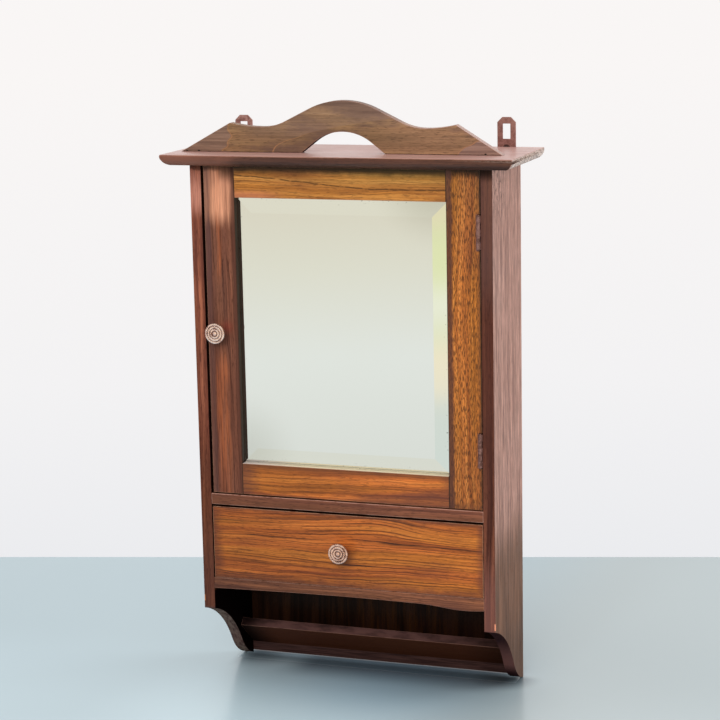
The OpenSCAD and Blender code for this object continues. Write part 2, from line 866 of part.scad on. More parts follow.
// Four mitred beads that hold the backing board in the rebate
module mirror_beads() {
    x0 = sight_x0 - rebate_w;
    x1 = sight_x1 + rebate_w;
    z0 = sight_z0 - rebate_w;
    z1 = sight_z1 + rebate_w;
    b = bead_w;
    // The upright beads stop short of the level ones by a saw cut at each mitre
    s0 = z0 + play;
    s1 = z1 - play;
    color(plain_wood) run_y(backing_back_y, door_back_y) {
        polygon([[x0, z0], [x1, z0], [x1 - b, z0 + b], [x0 + b, z0 + b]]);
        polygon([[x0, z1], [x1, z1], [x1 - b, z1 - b], [x0 + b, z1 - b]]);
        polygon([[x0, s0], [x0, s1], [x0 + b, s1 - b], [x0 + b, s0 + b]]);
        polygon([[x1, s0], [x1, s1], [x1 - b, s1 - b], [x1 - b, s0 + b]]);
    }
}

// Ball stud of the catch, on the back of the knob stile
module catch_strike() {
    color(steel) {
        rod_y(door_back_y, door_back_y + 1, catch_x, 0, 2 * catch_stud_r);
        rod_y(door_back_y, catch_ball_y, catch_x, 0, catch_stud_r);
        translate([catch_x, catch_ball_y, 0]) sphere(r = catch_ball_r);
    }
}

// The knobs

function door_knob_x() = (door_x0 + sight_x0) / 2 - door_knob_out;

// Arc of a bead of radius b about the centre c, from the angle a0 round to its inner side
function bead_points(c, b, a0) =
    [for (i = [0 : bead_steps])
        let (a = a0 + (180 - a0) * i / bead_steps)
        c + b * [cos(a), sin(a)]];

// Half section of a turned knob, radius against height: a foot, a hollow waist, and a head
// whose face has ring beads that climb to a round boss
module knob_section() {
    head_r = knob_d / 2;
    head_h = knob_h - boss_rise;
    rings = floor((head_r - 2 * ring_bead_r - boss_r) / ring_pitch) + 1;
    centres = [for (i = [0 : rings - 1])
        [head_r - ring_bead_r - i * ring_pitch, head_h + i * ring_climb]];
    foot_r = knob_foot_d / 2;
    waist_low = [foot_r - knob_foot_t / 2, knob_foot_t];
    waist_high = [head_r - ring_bead_r, head_h - ring_bead_r];
    boss_low = [boss_r, centres[rings - 1][1] + ring_climb / 2];
    boss_top = [0, knob_h];
    boss_dir = atan2(boss_top[1] - boss_low[1], boss_top[0] - boss_low[0]);
    beads = [for (i = [0 : rings - 1])
        each bead_points(centres[i], ring_bead_r, i == 0 ? -80 : 0)];
    difference() {
        polygon(concat(
            [[0, 0], [foot_r, 0], [foot_r, knob_foot_t / 2]],
            arc_points(waist_low, waist_high, waist_turn, bead_steps),
            beads,
            arc_points(boss_low, boss_top, boss_dir - 180, bead_steps),
            [boss_top]
        ));
        // The threaded hole for the screw
        square([knob_screw_r + ease, knob_hole]);
    }
}

// A knob that stands on the front at the given place
module knob(x, z) {
    translate([x, face_y, z]) rotate([90, 0, 0]) rotate_extrude() knob_section();
}

// A round-headed screw that reaches from behind a board of the given thickness into the knob
module knob_screw(x, z, board_t) {
    head_r = 2 * knob_screw_r;
    head_t = 0.6 * head_r;
    back = face_y + board_t;
    translate([x, back, z]) rotate([90, 0, 0]) {
        cylinder(h = board_t + knob_hole - 1, r = knob_screw_r);
        translate([0, 0, -head_t]) cylinder(h = head_t, r1 = 0.7 * head_r, r2 = head_r);
    }
}

module door_knob() {
    color(knob_metal) knob(door_knob_x(), 0);
}

module door_knob_screw() {
    color(steel) knob_screw(door_knob_x(), 0, door_t);
}

module drawer_knob() {
    color(knob_metal) knob(drawer_knob_x, drawer_knob_z);
}

module drawer_knob_screw() {
    color(steel) knob_screw(drawer_knob_x, drawer_knob_z, drawer_front_t);
}

// The drawer

// Drawer front, rebated at its ends for the sides and grooved for the bottom
module drawer_front() {
    color(frame_wood) difference() {
        block([-drawer_x, face_y, drawer_z0], [drawer_x, drawer_back_y, drawer_z1]);
        for (side = [0, 1])
            mirror([side, 0, 0])
            block([-drawer_x - cut, drawer_back_y - drawer_lap, drawer_z0 - cut],
                [-drawer_inner_x, drawer_back_y + cut, drawer_z0 + drawer_side_h]);
        bottom_slot();
        rod_y(face_y - cut, drawer_back_y + cut, drawer_knob_x, drawer_knob_z,
            knob_screw_r + ease);
    }
}

// The space that the drawer bottom takes up, which its grooves follow
module bottom_slot() {
    half = drawer_inner_x + groove;
    z = drawer_z0 + drawer_bottom_up;
    block([-half, drawer_back_y - groove, z], [half, drawer_end_y, z + drawer_bottom_t]);
}

// A drawer side, at the left
module drawer_side() {
    difference() {
        block([-drawer_x, drawer_back_y - drawer_lap, drawer_z0],
            [-drawer_inner_x, drawer_end_y, drawer_z0 + drawer_side_h]);
        bottom_slot();
    }
}

module drawer_side_left() {
    color(plain_wood) drawer_side();
}

module drawer_side_right() {
    color(plain_wood) mirror([1, 0, 0]) drawer_side();
}

// Drawer back, which stands on the bottom between the sides
module drawer_back() {
    z = drawer_z0 + drawer_bottom_up + drawer_bottom_t;
    color(plain_wood) block([-drawer_inner_x, drawer_end_y - drawer_back_t, z],
        [drawer_inner_x, drawer_end_y, drawer_z0 + drawer_side_h - drawer_back_down]);
}

module drawer_bottom() {
    color(plain_wood) bottom_slot();
}

side_left();
side_right();
top_board();
pediment();
divider();
floor_board();
apron();
back_panel();
tray_board();
shelf_upper();
shelf_lower();
shelf_cleats();
door_stop();
drawer_stops();
catch_clip();
hanging_plate_left();
hanging_plate_right();
hanging_screws();
hinge_leaves_case();
hinge_pins();
hinge_screws_case();
stile_left();
stile_right();
rail_top();
rail_bottom();
mirror_plate();
mirror_backing();
mirror_beads();
hinge_leaves_door();
hinge_screws_door();
catch_strike();
door_knob();
door_knob_screw();
drawer_front();
drawer_side_left();
drawer_side_right();
drawer_back();
drawer_bottom();
drawer_knob();
drawer_knob_screw();
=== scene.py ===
# Looks of a wall-hung medicine cabinet: worn stained wood, a bevelled mirror and turned metal knobs.
# Lengths are in metres unless a name ends in _MM. +Z is up, the front faces -Y, the wall is y = 0.
# Colours are given as they look on screen, from 0 to 255.
import json
import math

import bmesh
import bpy
from mathutils import Matrix, Vector

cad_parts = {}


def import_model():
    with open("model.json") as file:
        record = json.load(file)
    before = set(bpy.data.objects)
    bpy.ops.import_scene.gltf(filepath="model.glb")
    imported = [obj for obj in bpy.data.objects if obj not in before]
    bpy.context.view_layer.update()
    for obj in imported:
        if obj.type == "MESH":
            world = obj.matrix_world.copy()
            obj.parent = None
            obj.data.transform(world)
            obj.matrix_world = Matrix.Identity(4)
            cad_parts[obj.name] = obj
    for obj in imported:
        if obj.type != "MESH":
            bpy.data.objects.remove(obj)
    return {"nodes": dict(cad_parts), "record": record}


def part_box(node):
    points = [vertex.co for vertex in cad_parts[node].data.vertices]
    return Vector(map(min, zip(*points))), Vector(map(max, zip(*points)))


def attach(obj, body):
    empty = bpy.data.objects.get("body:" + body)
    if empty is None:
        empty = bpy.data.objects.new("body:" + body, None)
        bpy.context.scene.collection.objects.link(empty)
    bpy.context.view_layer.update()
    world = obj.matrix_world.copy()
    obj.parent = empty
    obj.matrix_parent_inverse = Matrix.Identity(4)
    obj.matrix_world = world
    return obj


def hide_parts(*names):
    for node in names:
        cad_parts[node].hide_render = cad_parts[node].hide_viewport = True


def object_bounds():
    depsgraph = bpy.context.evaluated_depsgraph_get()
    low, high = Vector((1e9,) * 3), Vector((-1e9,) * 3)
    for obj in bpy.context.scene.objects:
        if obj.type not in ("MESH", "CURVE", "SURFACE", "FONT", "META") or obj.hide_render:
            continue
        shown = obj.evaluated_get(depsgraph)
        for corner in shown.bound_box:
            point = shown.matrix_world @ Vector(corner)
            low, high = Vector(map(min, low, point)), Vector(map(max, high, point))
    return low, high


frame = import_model()
CAD_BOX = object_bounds()

MM = 0.001
BODY_OF = {node: body for body, nodes in frame["record"]["behaviour"]["bodies"].items()
           for node in nodes}

# The photograph's camera
CAMERA_PLACE_MM = (851.2, -2522.15, 469.8)
CAMERA_YAW = 0.333
CAMERA_PITCH = -0.194
CAMERA_ROLL = -0.02
FOCAL_PIXELS = 2145.8
FRAME_PIXELS = 720
SENSOR_MM = 36
FAR = 20
# Row of the photograph in which the floor ends
HORIZON_ROW = 557

# Rounding of edges, and what counts as one
ARRIS = 0.5 * MM
TOP_ARRIS = 0.9 * MM
DIVIDER_ARRIS = 0.8 * MM
THIN_ARRIS = 0.3 * MM
PLATE_ARRIS = 0.25 * MM
SHARP_ANGLE = math.radians(28)
FLAT_ANGLE = math.radians(0.3)
SHORTEST_EDGE = 1.5 * MM
TINY = 0.01 * MM


def linear(colour):
    """The linear form that shaders use of a colour given as three numbers. A socket stays as it is."""
    if not isinstance(colour, tuple):
        return colour
    shares = [value / 255 for value in colour]
    return (*(share / 12.92 if share <= 0.04045 else ((share + 0.055) / 1.055) ** 2.4
              for share in shares), 1)


def camera_axes():
    """The camera's right, up and forward directions."""
    forward = Vector((-math.sin(CAMERA_YAW) * math.cos(CAMERA_PITCH),
                      math.cos(CAMERA_YAW) * math.cos(CAMERA_PITCH), math.sin(CAMERA_PITCH)))
    right = Vector((math.cos(CAMERA_YAW), math.sin(CAMERA_YAW), 0))
    up = right.cross(forward)
    level = math.cos(CAMERA_ROLL) * right + math.sin(CAMERA_ROLL) * up
    upright = math.cos(CAMERA_ROLL) * up - math.sin(CAMERA_ROLL) * right
    return level, upright, forward


class Nodes:
    """A node tree that is built up from nothing."""

    def __init__(self, tree):
        self.tree = tree
        tree.nodes.clear()

    def add(self, kind, **settings):
        node = self.tree.nodes.new(kind)
        for key, value in settings.items():
            setattr(node, key, value)
        return node

    def put(self, node, values):
        """Sets the inputs given by name or number to values, or links them to sockets."""
        for key, value in values.items():
            if isinstance(value, bpy.types.NodeSocket):
                self.tree.links.new(value, node.inputs[key])
            else:
                node.inputs[key].default_value = value

    def made(self, kind, values, output=0, **settings):
        """An output of a new node with these inputs."""
        node = self.add(kind, **settings)
        self.put(node, values)
        return node.outputs[output]

    def parts(self, vector):
        node = self.add("ShaderNodeSeparateXYZ")
        self.put(node, {0: vector})
        return node.outputs[:3]

    def mix(self, share, a, b, blend="MIX"):
        return self.made("ShaderNodeMix", {0: share, 6: linear(a), 7: linear(b)}, 2,
                         data_type="RGBA", blend_type=blend)


class Surface(Nodes):
    """A procedural material. Its methods add nodes and return the sockets that they give."""

    def __init__(self, name):
        self.material = bpy.data.materials.new(name)
        self.material.use_nodes = True
        super().__init__(self.material.node_tree)
        self.shader = self.add("ShaderNodeBsdfPrincipled")
        self.put(self.add("ShaderNodeOutputMaterial"), {"Surface": self.shader.outputs["BSDF"]})
        self.place = self.add("ShaderNodeTexCoord").outputs["Object"]
        self.x, self.y, self.z = self.parts(self.place)

    def finish(self, **values):
        """Sets the shader's sockets, by their names with _ for a space."""
        self.put(self.shader, {key.replace("_", " "): value for key, value in values.items()})
        return self.material

    def math(self, operation, *values):
        return self.made("ShaderNodeMath", dict(enumerate(values)), operation=operation)

    def chain(self, operation, values):
        """The operation over all the values in turn."""
        total = values[0]
        for value in values[1:]:
            total = self.math(operation, total, value)
        return total

    def times(self, *values):
        return self.chain("MULTIPLY", values)

    def plus(self, *values):
        return self.chain("ADD", values)

    def most(self, *values):
        return self.chain("MAXIMUM", values)

    def less(self, a, b):
        return self.math("SUBTRACT", a, b)

    def size(self, value):
        return self.math("ABSOLUTE", value)

    def joined(self, x, y, z):
        return self.made("ShaderNodeCombineXYZ", {0: x, 1: y, 2: z})

    def noise(self, vector, scale=1, detail=2, rough=0.5):
        return self.made("ShaderNodeTexNoise", {"Vector": vector, "Scale": scale, "Detail": detail,
                                                "Roughness": rough}, "Fac")

    def figure(self, scales, shift=(0, 0, 0), detail=2, rough=0.5):
        """Noise at the place times the scales plus the shift, so that each axis has its own size."""
        place = self.made("ShaderNodeVectorMath", {0: self.place, 1: scales, 2: shift},
                          operation="MULTIPLY_ADD")
        return self.noise(place, 1, detail, rough)

    def wander(self, reach, *figure, **more):
        """A figure as an offset to either side, of up to half the reach."""
        return self.times(self.less(self.figure(*figure, **more), 0.5), reach)

    def fade(self, value, low, high, start=0, end=1):
        """Goes smoothly from start to end as the value goes from low to high."""
        return self.made("ShaderNodeMapRange", {"Value": value, "From Min": low, "From Max": high,
                                                "To Min": start, "To Max": end},
                         interpolation_type="SMOOTHSTEP")

    def fall(self, value, low, high):
        """Goes smoothly from 1 to 0 as the value goes from low to high."""
        return self.fade(value, low, high, 1, 0)

    def within(self, value, low, high, edge):
        """1 between low and high, falling to 0 over the given edge outside them."""
        return self.times(self.fade(value, low - edge, low), self.fall(value, high, high + edge))

    def spot(self, centre, radius, soft=0.5):
        """1 round a point. A None in the centre leaves that axis out."""
        squares = [self.math("POWER", self.less(axis, place), 2)
                   for axis, place in zip((self.x, self.y, self.z), centre) if place is not None]
        return self.fall(self.math("SQRT", self.plus(*squares)), radius * (1 - soft), radius)

    def over(self, colour, tint, *shares):
        """The colour covered with a tint by the product of the shares."""
        return self.mix(self.times(*shares), colour, tint)

    def stained(self, share, colour, tint):
        """The colour multiplied by a tint, which keeps the figure under it."""
        return self.mix(share, colour, tint, "MULTIPLY")

    def shaded(self, colour, value):
        """The colour times a grey value."""
        return self.made("ShaderNodeVectorMath", {0: colour, "Scale": value}, operation="SCALE")

    def bump(self, height, strength, distance):
        return self.made("ShaderNodeBump", {"Height": height, "Strength": strength,
                                            "Distance": distance}, "Normal")

    def named(self, attribute):
        return self.made("ShaderNodeAttribute", {}, "Fac", attribute_name=attribute)

    def facing(self, axis):
        """How far the surface faces along the axis, from -1 to 1."""
        return self.parts(self.add("ShaderNodeNewGeometry").outputs["Normal"])["xyz".index(axis)]


# Wood. Each look gives the colours of the body and its figure, of the growth lines, of worn edges
# that also stand for a painted highlight, of the stain's clouds, and the figure's sizes in metres.

CASE = {
    "dark": (66, 34, 26), "body": (108, 60, 46), "light": (142, 84, 62),
    "tone": (116, 70, 44), "line": (40, 20, 18), "worn_and_highlight": (188, 138, 120),
    "cloud": (74, 42, 38), "cloud_share": 0.4, "gap": 0.006, "line_share": 0.35, "wave": 0.0016,
    "pore_across": 0.0009, "pore_along": 0.009, "pore_low": 0.58, "pore_share": 0.45,
    "streaks": 170, "fine": 700,
}
FRAME = {
    "dark": (128, 62, 30), "body": (192, 102, 44), "light": (232, 134, 60),
    "tone": (182, 112, 38), "line": (52, 28, 20), "worn_and_highlight": (212, 158, 124),
    "cloud": (108, 58, 42), "cloud_share": 0.5, "gap": 0.0074, "line_share": 1, "wave": 0.0026,
    "pore_across": 0.0009, "pore_along": 0.008, "pore_low": 0.58, "pore_share": 0.4,
    "streaks": 170, "fine": 800,
}
PLAIN = {
    "dark": (150, 112, 74), "body": (182, 142, 98), "light": (204, 168, 122),
    "tone": (186, 146, 96), "line": (128, 88, 54), "worn_and_highlight": (214, 186, 150),
    "cloud": (150, 116, 84), "cloud_share": 0.3, "gap": 0.005, "line_share": 0.35, "wave": 0.002,
    "pore_across": 0.0012, "pore_along": 0.02, "pore_low": 0.58, "pore_share": 0.15,
    "streaks": 120, "fine": 600,
}

# How far a wood's figure moves from one seed to the next
SEED_STEP = 3.7
WOOD_RELIEF = 0.15 * MM
METAL_RELIEF = 0.1 * MM

# Near black: painted shade on faces in narrow gaps and in the pediment's arch, and dirt in dark joints
SHADE_AND_GRIME = (20, 11, 9)

# The upper ends of the door get a painted shadow under the top board
SHADE_HEIGHT = 5 * MM
SHADE_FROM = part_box("rail_top")[1].z - SHADE_HEIGHT

# The joints between the door's stiles and rails
SEAM_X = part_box("stile_right")[0].x
SEAM_WIDTH = 0.45 * MM
# Height of the mirror's lower sight edge
SIGHT_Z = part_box("rail_bottom")[1].z


def depths(s, node):
    """How far a place is from the low X, high X, low Z and high Z sides of a node's box."""
    low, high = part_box(node)
    return s.less(s.x, low.x), s.less(high.x, s.x), s.less(s.z, low.z), s.less(high.z, s.z)


def edge_band(s, node, widths):
    """A mask that is 1 at the sides of a node's box and falls to 0 inside, over a width for each
    side and with a ragged edge."""
    shares = [s.math("DIVIDE", depth, width) for depth, width in zip(depths(s, node), widths)]
    uneven = s.less(s.noise(s.place, 60, 3, 0.6), 0.5)
    return s.fall(s.plus(s.chain("MINIMUM", shares), uneven), 0, 1)


def wood(name, look, grain, seed, rough=0.42, level=0.25, edges=None, edge_share=0.7, wear=0.6,
         flow=None, paint=None, seams=False, slope=None, grimy=(), shade_from=None, **changes):
    """A varnished wood with its grain along the axis named by grain. The changes are to the look.
    edges gives a node and the widths of dark bands at its sides. flow bends the figure, and paint
    adds what only this piece has. slope gives a painted gradient of light: an X, its factor of
    brightness, a second X and its factor. grimy names the directions of faces in a narrow gap,
    which get a painted shade. From the height shade_from up the wood gets a painted shadow."""
    look = {**look, **changes}
    s = Surface(name)
    along, across, deep = {"X": (s.x, s.z, s.y), "Y": (s.y, s.x, s.z), "Z": (s.z, s.x, s.y)}[grain]
    far = SEED_STEP * seed

    def grained(scale_along, scale_side, scale_deep, detail=2, rough=0.5, side=across, shift=0):
        """Noise with its own sizes along the grain, across it and through the board."""
        place = s.joined(s.plus(s.times(along, scale_along), far + shift), s.times(side, scale_side),
                         s.times(deep, scale_deep))
        return s.noise(place, 1, detail, rough)

    # The growth rings' coordinate wanders along the grain
    slow = s.less(grained(4, 9, 9), 0.5)
    quick = s.less(grained(17, 30, 30), 0.5)
    small = s.less(grained(60, 130, 90, 3, 0.6), 0.5)
    ring = s.plus(across, s.times(deep, 0.6), s.times(slow, 7 * look["wave"]),
                  s.times(quick, 2 * look["wave"]), s.times(small, 0.35 * look["wave"]))
    if flow:
        ring = s.plus(ring, flow(s))
    # Broad and fine streaks along the grain
    broad = grained(3, look["streaks"], 20, 4, 0.6, ring)
    fine = grained(14, look["fine"], 300, 3, 0.65, ring)
    colour = s.mix(s.fade(broad, 0.28, 0.51), look["dark"], look["body"])
    colour = s.mix(s.fade(broad, 0.48, 0.68), colour, look["light"])
    tone = grained(2.4, 45, 8, side=ring)
    colour = s.mix(s.fade(tone, 0.4, 0.62, 0, 0.45), colour, look["tone"])
    # Growth lines: thin, unevenly spaced, and strong only here and there
    lines = 0
    for gap, width, share in ((look["gap"], 0.2, 1), (look["gap"] * 0.43, 0.32, 0.8)):
        spacing = grained(1.2, 60, 12, 1, side=ring)
        turn = s.math("FRACT", s.plus(s.math("DIVIDE", ring, gap), s.times(spacing, 5)))
        line = s.times(s.fade(turn, 0, width), s.fall(turn, width, 1.25 * width))
        patch = grained(8, 190, 15, 4, 0.6, ring, gap / MM)
        lines = s.most(lines, s.times(line, s.fade(patch, 0.42, 0.55), share))
    colour = s.over(colour, look["line"], lines, look["line_share"])
    colour = s.shaded(colour, s.fade(fine, 0.22, 0.78, 0.74, 1.2))
    # Large clouds of stain
    cloud = grained(7, 16, 11, 4, 0.6)
    colour = s.mix(s.fade(cloud, 0.46, 0.7, 0, look["cloud_share"]), colour, look["cloud"])
    if edges:
        colour = s.over(colour, look["cloud"], edge_band(s, *edges), edge_share)
    # Pores: short dark dashes
    dash = grained(1 / look["pore_along"], 1 / look["pore_across"], 1 / look["pore_across"], 1)
    pore = s.fade(dash, look["pore_low"], look["pore_low"] + 0.08)
    colour = s.over(colour, look["line"], pore, look["pore_share"])
    # A painted shadow under the top board darkens the upper ends of the door
    if shade_from:
        colour = s.shaded(colour, s.fade(s.z, shade_from, shade_from + SHADE_HEIGHT, 1, 0.4))
    # A painted gradient of light, brighter towards one side
    if slope:
        colour = s.shaded(colour, s.fade(s.x, slope[0], slope[2], slope[1], slope[3]))
    if paint:
        colour = paint(s, colour)
    # Handling and a painted highlight pale the rounded edges, and dirt darkens the door frame's joints
    rub = s.noise(s.place, 70, 4, 0.7)
    colour = s.over(colour, look["worn_and_highlight"], s.named("arris"), s.fade(rub, 0.28, 0.56), wear)
    if seams:
        seam = s.within(s.size(s.x), SEAM_X - SEAM_WIDTH, SEAM_X + SEAM_WIDTH, SEAM_WIDTH)
        colour = s.over(colour, (44, 26, 20), seam, 0.85)
    # Faces that stand in a narrow gap get a near-black painted shade
    for axis, sign in grimy:
        turned = s.times(s.facing(axis), sign)
        colour = s.mix(s.fade(turned, 0.45, 0.85, 0, 0.85), colour, SHADE_AND_GRIME)
    height = s.less(s.times(fine, 0.4), s.plus(s.times(pore, 0.8), s.times(lines, 0.2)))
    under = s.fade(s.facing("z"), -0.95, -0.6, 0.45, 0)
    roughness = s.plus(s.times(pore, 0.12), s.fade(cloud, 0.3, 0.7, rough - 0.05, rough + 0.06), under)
    return s.finish(Base_Color=colour, Roughness=roughness, Normal=s.bump(height, 0.35, WOOD_RELIEF),
                    Specular_IOR_Level=level)


# Metals and glass

def metal(name, body, dull, rub_and_glint, stain_share, rough=0.35, seed=0, groove=None, paint=None):
    """Metal with wear: body colour, dull patches, and pale specks, partly rubbed and partly painted
    glints.
    """
    s = Surface(name)
    place = s.made("ShaderNodeVectorMath", {0: s.place, 1: (seed, seed, seed)}, operation="ADD")
    patch = s.noise(place, 160, 4, 0.6)
    speck = s.noise(place, 900)
    colour = s.mix(s.fade(patch, 0.4, 0.62, 0, stain_share), body, dull)
    colour = s.mix(s.fade(speck, 0.55, 0.75, 0, 0.5), colour, rub_and_glint)
    if groove:
        tarnish = s.plus(s.named("groove"), s.times(s.less(patch, 0.5), 1.6))
        colour = s.mix(s.fade(tarnish, 0.3, 0.7), colour, groove)
    if paint:
        colour = paint(s, colour)
    return s.finish(Base_Color=colour, Metallic=0.85,
                    Roughness=s.fade(patch, 0.3, 0.7, rough - 0.08, rough + 0.2),
                    Normal=s.bump(s.plus(patch, s.times(speck, 0.4)), 0.25, METAL_RELIEF))


def mirror_glass():
    """Silvered glass with a little haze, and small spots where the silver has gone near the edges."""
    s = Surface("mirror_glass")
    depth = s.chain("MINIMUM", depths(s, "mirror_plate"))
    gone = s.times(s.fade(s.noise(s.place, 420), 0.66, 0.72), s.fall(depth, 0.009, 0.016))
    silver = s.mix(gone, (246, 249, 247), (96, 92, 84))
    # Two dim patches in the silver are a painted reflection of darker parts of the room
    dim = s.most(s.spot((0.12, None, 0.19), 0.09, 1),
                 s.times(s.spot((-0.13, None, -0.15), 0.08, 1), 0.6))
    silver = s.mix(s.times(dim, 0.75), silver, (204, 206, 198))
    # A painted dark line of shade runs along the lower rail, and the glass is yellow-green beside the
    # right stile
    joint = s.times(s.within(s.z, SIGHT_Z + 1.5 * MM, SIGHT_Z + 1.8 * MM, 0.3 * MM), 0.7)
    silver = s.mix(joint, silver, (60, 48, 40))
    rim = s.fade(s.x, SEAM_X - 1.7 * MM, SEAM_X - 1.1 * MM)
    silver = s.mix(s.times(rim, 0.8), silver, (196, 226, 150))
    haze = s.noise(s.place, 7, 3)
    return s.finish(Base_Color=silver, Metallic=1, Roughness=s.fade(haze, 0.3, 0.7, 0.03, 0.06))


# Geometry

def new_piece(name, mesh, material, node):
    """An object for the mesh that stands for the CAD node and moves with it."""
    piece = bpy.data.objects.new(name, mesh)
    bpy.context.scene.collection.objects.link(piece)
    mesh.materials.append(material)
    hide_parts(node)
    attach(piece, BODY_OF[node])
    return piece


def softened(node, material, width=ARRIS, steps=2):
    """A copy of a CAD node with its long edges rounded, which stands for the node."""
    mesh = bpy.data.meshes.new("soft_" + node)
    bm = bmesh.new()
    bm.from_mesh(frame["nodes"][node].data)
    bmesh.ops.remove_doubles(bm, verts=bm.verts, dist=TINY)
    bmesh.ops.dissolve_limit(bm, angle_limit=FLAT_ANGLE, verts=bm.verts, edges=bm.edges)
    edges = [edge for edge in bm.edges if len(edge.link_faces) == 2
             and edge.calc_face_angle() > SHARP_ANGLE and edge.calc_length() > SHORTEST_EDGE]
    arris = bm.faces.layers.float.new("arris")
    rounded = bmesh.ops.bevel(bm, geom=edges, offset=width, offset_type="OFFSET", segments=steps,
                              profile=0.5, affect="EDGES", clamp_overlap=True)
    for face in rounded["faces"]:
        face[arris] = 1
    for face in bm.faces:
        face.smooth = True
    bm.to_mesh(mesh)
    bm.free()
    piece = new_piece("soft_" + node, mesh, material, node)
    piece.modifiers.new("even_normals", "WEIGHTED_NORMAL").keep_sharp = True


def board(node, look, grain, seed, width=ARRIS, steps=2, **finish):
    """A wooden CAD node with a finish of its own."""
    softened(node, wood(node + "_wood", look, grain, seed, **finish), width, steps)


def dressed(node, material):
    """A CAD node that keeps its shape and gets a finish."""
    mesh = frame["nodes"][node].data
    mesh.materials.clear()
    mesh.materials.append(material)


# The knobs. Each ring on the face is given by the radius of its middle and its half width, as
# shares of the knob's radius, and the number of its beads.
KNOB_RINGS = ((0.89, 0.11, 27), (0.635, 0.115, 19), (0.385, 0.1, 12))
# The boss's radius as a share of the knob's
KNOB_BOSS = 0.2
KNOB_FOOT = 5 * MM
KNOB_FOOT_RISE = 0.8 * MM
KNOB_NECK = 3.9 * MM
KNOB_NECK_HEIGHT = 1.6 * MM
# The bell from the neck to the rim: its steps, its end's depth under the face and share of the
# radius, and its curve
KNOB_BELL_STEPS = 8
KNOB_BELL_DEPTH = 3.4 * MM
KNOB_BELL_WIDTH = 0.88
KNOB_BELL_CURVE = 2.2
# Round the rim: share of the radius, depth under the face, and groove
KNOB_RIM = ((0.975, 2.3 * MM, 0.2), (1, 1.3 * MM, 0))
KNOB_FACE = 2.6 * MM
KNOB_DOME = 1.4 * MM
KNOB_BEAD = 1.1 * MM
KNOB_SINK = 0.5 * MM
# How deep the rope's cuts are and how far they lean
KNOB_ROPE = 0.6 * MM
KNOB_LEAN = 2.2
KNOB_STEPS = 60
KNOB_TURNS = 144


def knob_profile(radius, length):
    """Points (radius, height, groove, beads, lean) from the foot round the rim to the middle.
    The groove is 0 on a ring's top and 1 between two rings."""
    face = length - KNOB_FACE
    bell_end = face - KNOB_BELL_DEPTH
    points = [(KNOB_FOOT, 0, 0, 0, 0), (KNOB_FOOT, KNOB_FOOT_RISE, 0, 0, 0),
              (KNOB_NECK, KNOB_NECK_HEIGHT, 1, 0, 0)]
    for step in range(1, KNOB_BELL_STEPS + 1):
        t = step / KNOB_BELL_STEPS
        points.append((KNOB_NECK + (radius * KNOB_BELL_WIDTH - KNOB_NECK) * t ** KNOB_BELL_CURVE,
                       KNOB_NECK_HEIGHT + (bell_end - KNOB_NECK_HEIGHT) * t, 0.5, 0, 0))
    for share, depth, groove in KNOB_RIM:
        points.append((radius * share, face - depth, groove, 0, 0))
    for step in range(KNOB_STEPS + 1):
        share = 1 - step / KNOB_STEPS
        rise = (1 - share) * KNOB_DOME
        groove, beads, lean, bead = 1, 0, 0, 0
        for middle, half, count in KNOB_RINGS:
            off = (share - middle) / half
            if abs(off) < 1:
                bead = math.sqrt(1 - off * off)
                groove, beads, lean = 1 - bead, count, off
        if share < KNOB_BOSS:
            bead = 1.2 * math.cos(share / KNOB_BOSS * math.pi / 2)
            groove, beads = 0.35 * share / KNOB_BOSS, 0
        height = face + rise + bead * KNOB_BEAD - KNOB_SINK
        points.append((radius * share, height, groove, beads, lean))
    return points


def turned_knob(node, material):
    """A turned knob whose face has rope-cut rings round a boss."""
    low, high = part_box(node)
    centre_x, centre_z = (low.x + high.x) / 2, (low.z + high.z) / 2
    profile = knob_profile((high.x - low.x) / 2, high.y - low.y)
    bm = bmesh.new()
    layer = bm.verts.layers.float.new("groove")
    rows = []
    for ring_radius, ring_height, groove, beads, lean in profile:
        row = []
        for turn in range(1 if ring_radius < TINY else KNOB_TURNS):
            angle = 2 * math.pi * turn / KNOB_TURNS
            cut = 0.5 - 0.5 * math.cos(beads * angle + KNOB_LEAN * lean) if beads else 0
            depth = ring_height - KNOB_ROPE * cut * (1 - groove)
            vert = bm.verts.new((centre_x + ring_radius * math.cos(angle), high.y - depth,
                                 centre_z + ring_radius * math.sin(angle)))
            vert[layer] = min(1, groove ** 2 + 0.45 * cut)
            row.append(vert)
        rows.append(row)
    for before, after in zip(rows, rows[1:]):
        for turn in range(KNOB_TURNS):
            nxt = (turn + 1) % KNOB_TURNS
            if len(after) == 1:
                bm.faces.new((before[turn], before[nxt], after[0]))
            else:
                bm.faces.new((before[turn], before[nxt], after[nxt], after[turn]))
    bm.faces.new(list(reversed(rows[0])))
    bmesh.ops.recalc_face_normals(bm, faces=bm.faces)
    for face in bm.faces:
        face.smooth = True
    mesh = bpy.data.meshes.new("turned_" + node)
    bm.to_mesh(mesh)
    bm.free()
    new_piece("turned_" + node, mesh, material, node)


# What single pieces show. The numbers are places in the frame in metres, and shares of a colour.

# Lower and upper end of the stain beside each hinge
HINGE_STAINS = ((-0.152, -0.111), (0.109, 0.151))
# X and radius of the dark holes at the pediment's foot
PIN_HOLES = ((-0.2015, 1.5 * MM), (-0.186, 2 * MM), (0.1765, 2 * MM))
# A side board's face further than this from the middle is its outer one
OUTER_X = 0.186
# Chips at the front corners of the feet
CHIP_LEFT = (-0.19, -0.13, None)
CHIP_RIGHT = (0.19, -0.13, None)


def front_face(s):
    """1 on faces to the front."""
    return s.fall(s.facing("y"), -0.9, -0.6)


def shadow_under_top(s, colour, reach, dark=0.25):
    """A painted shadow darkens the wood close under the top board."""
    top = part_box("rail_top")[1].z
    uneven = s.wander(0.007, (70, 0, 70), detail=3)
    return s.shaded(colour, s.fade(s.plus(s.z, uneven), top - reach, top - 0.003, 1, dark))


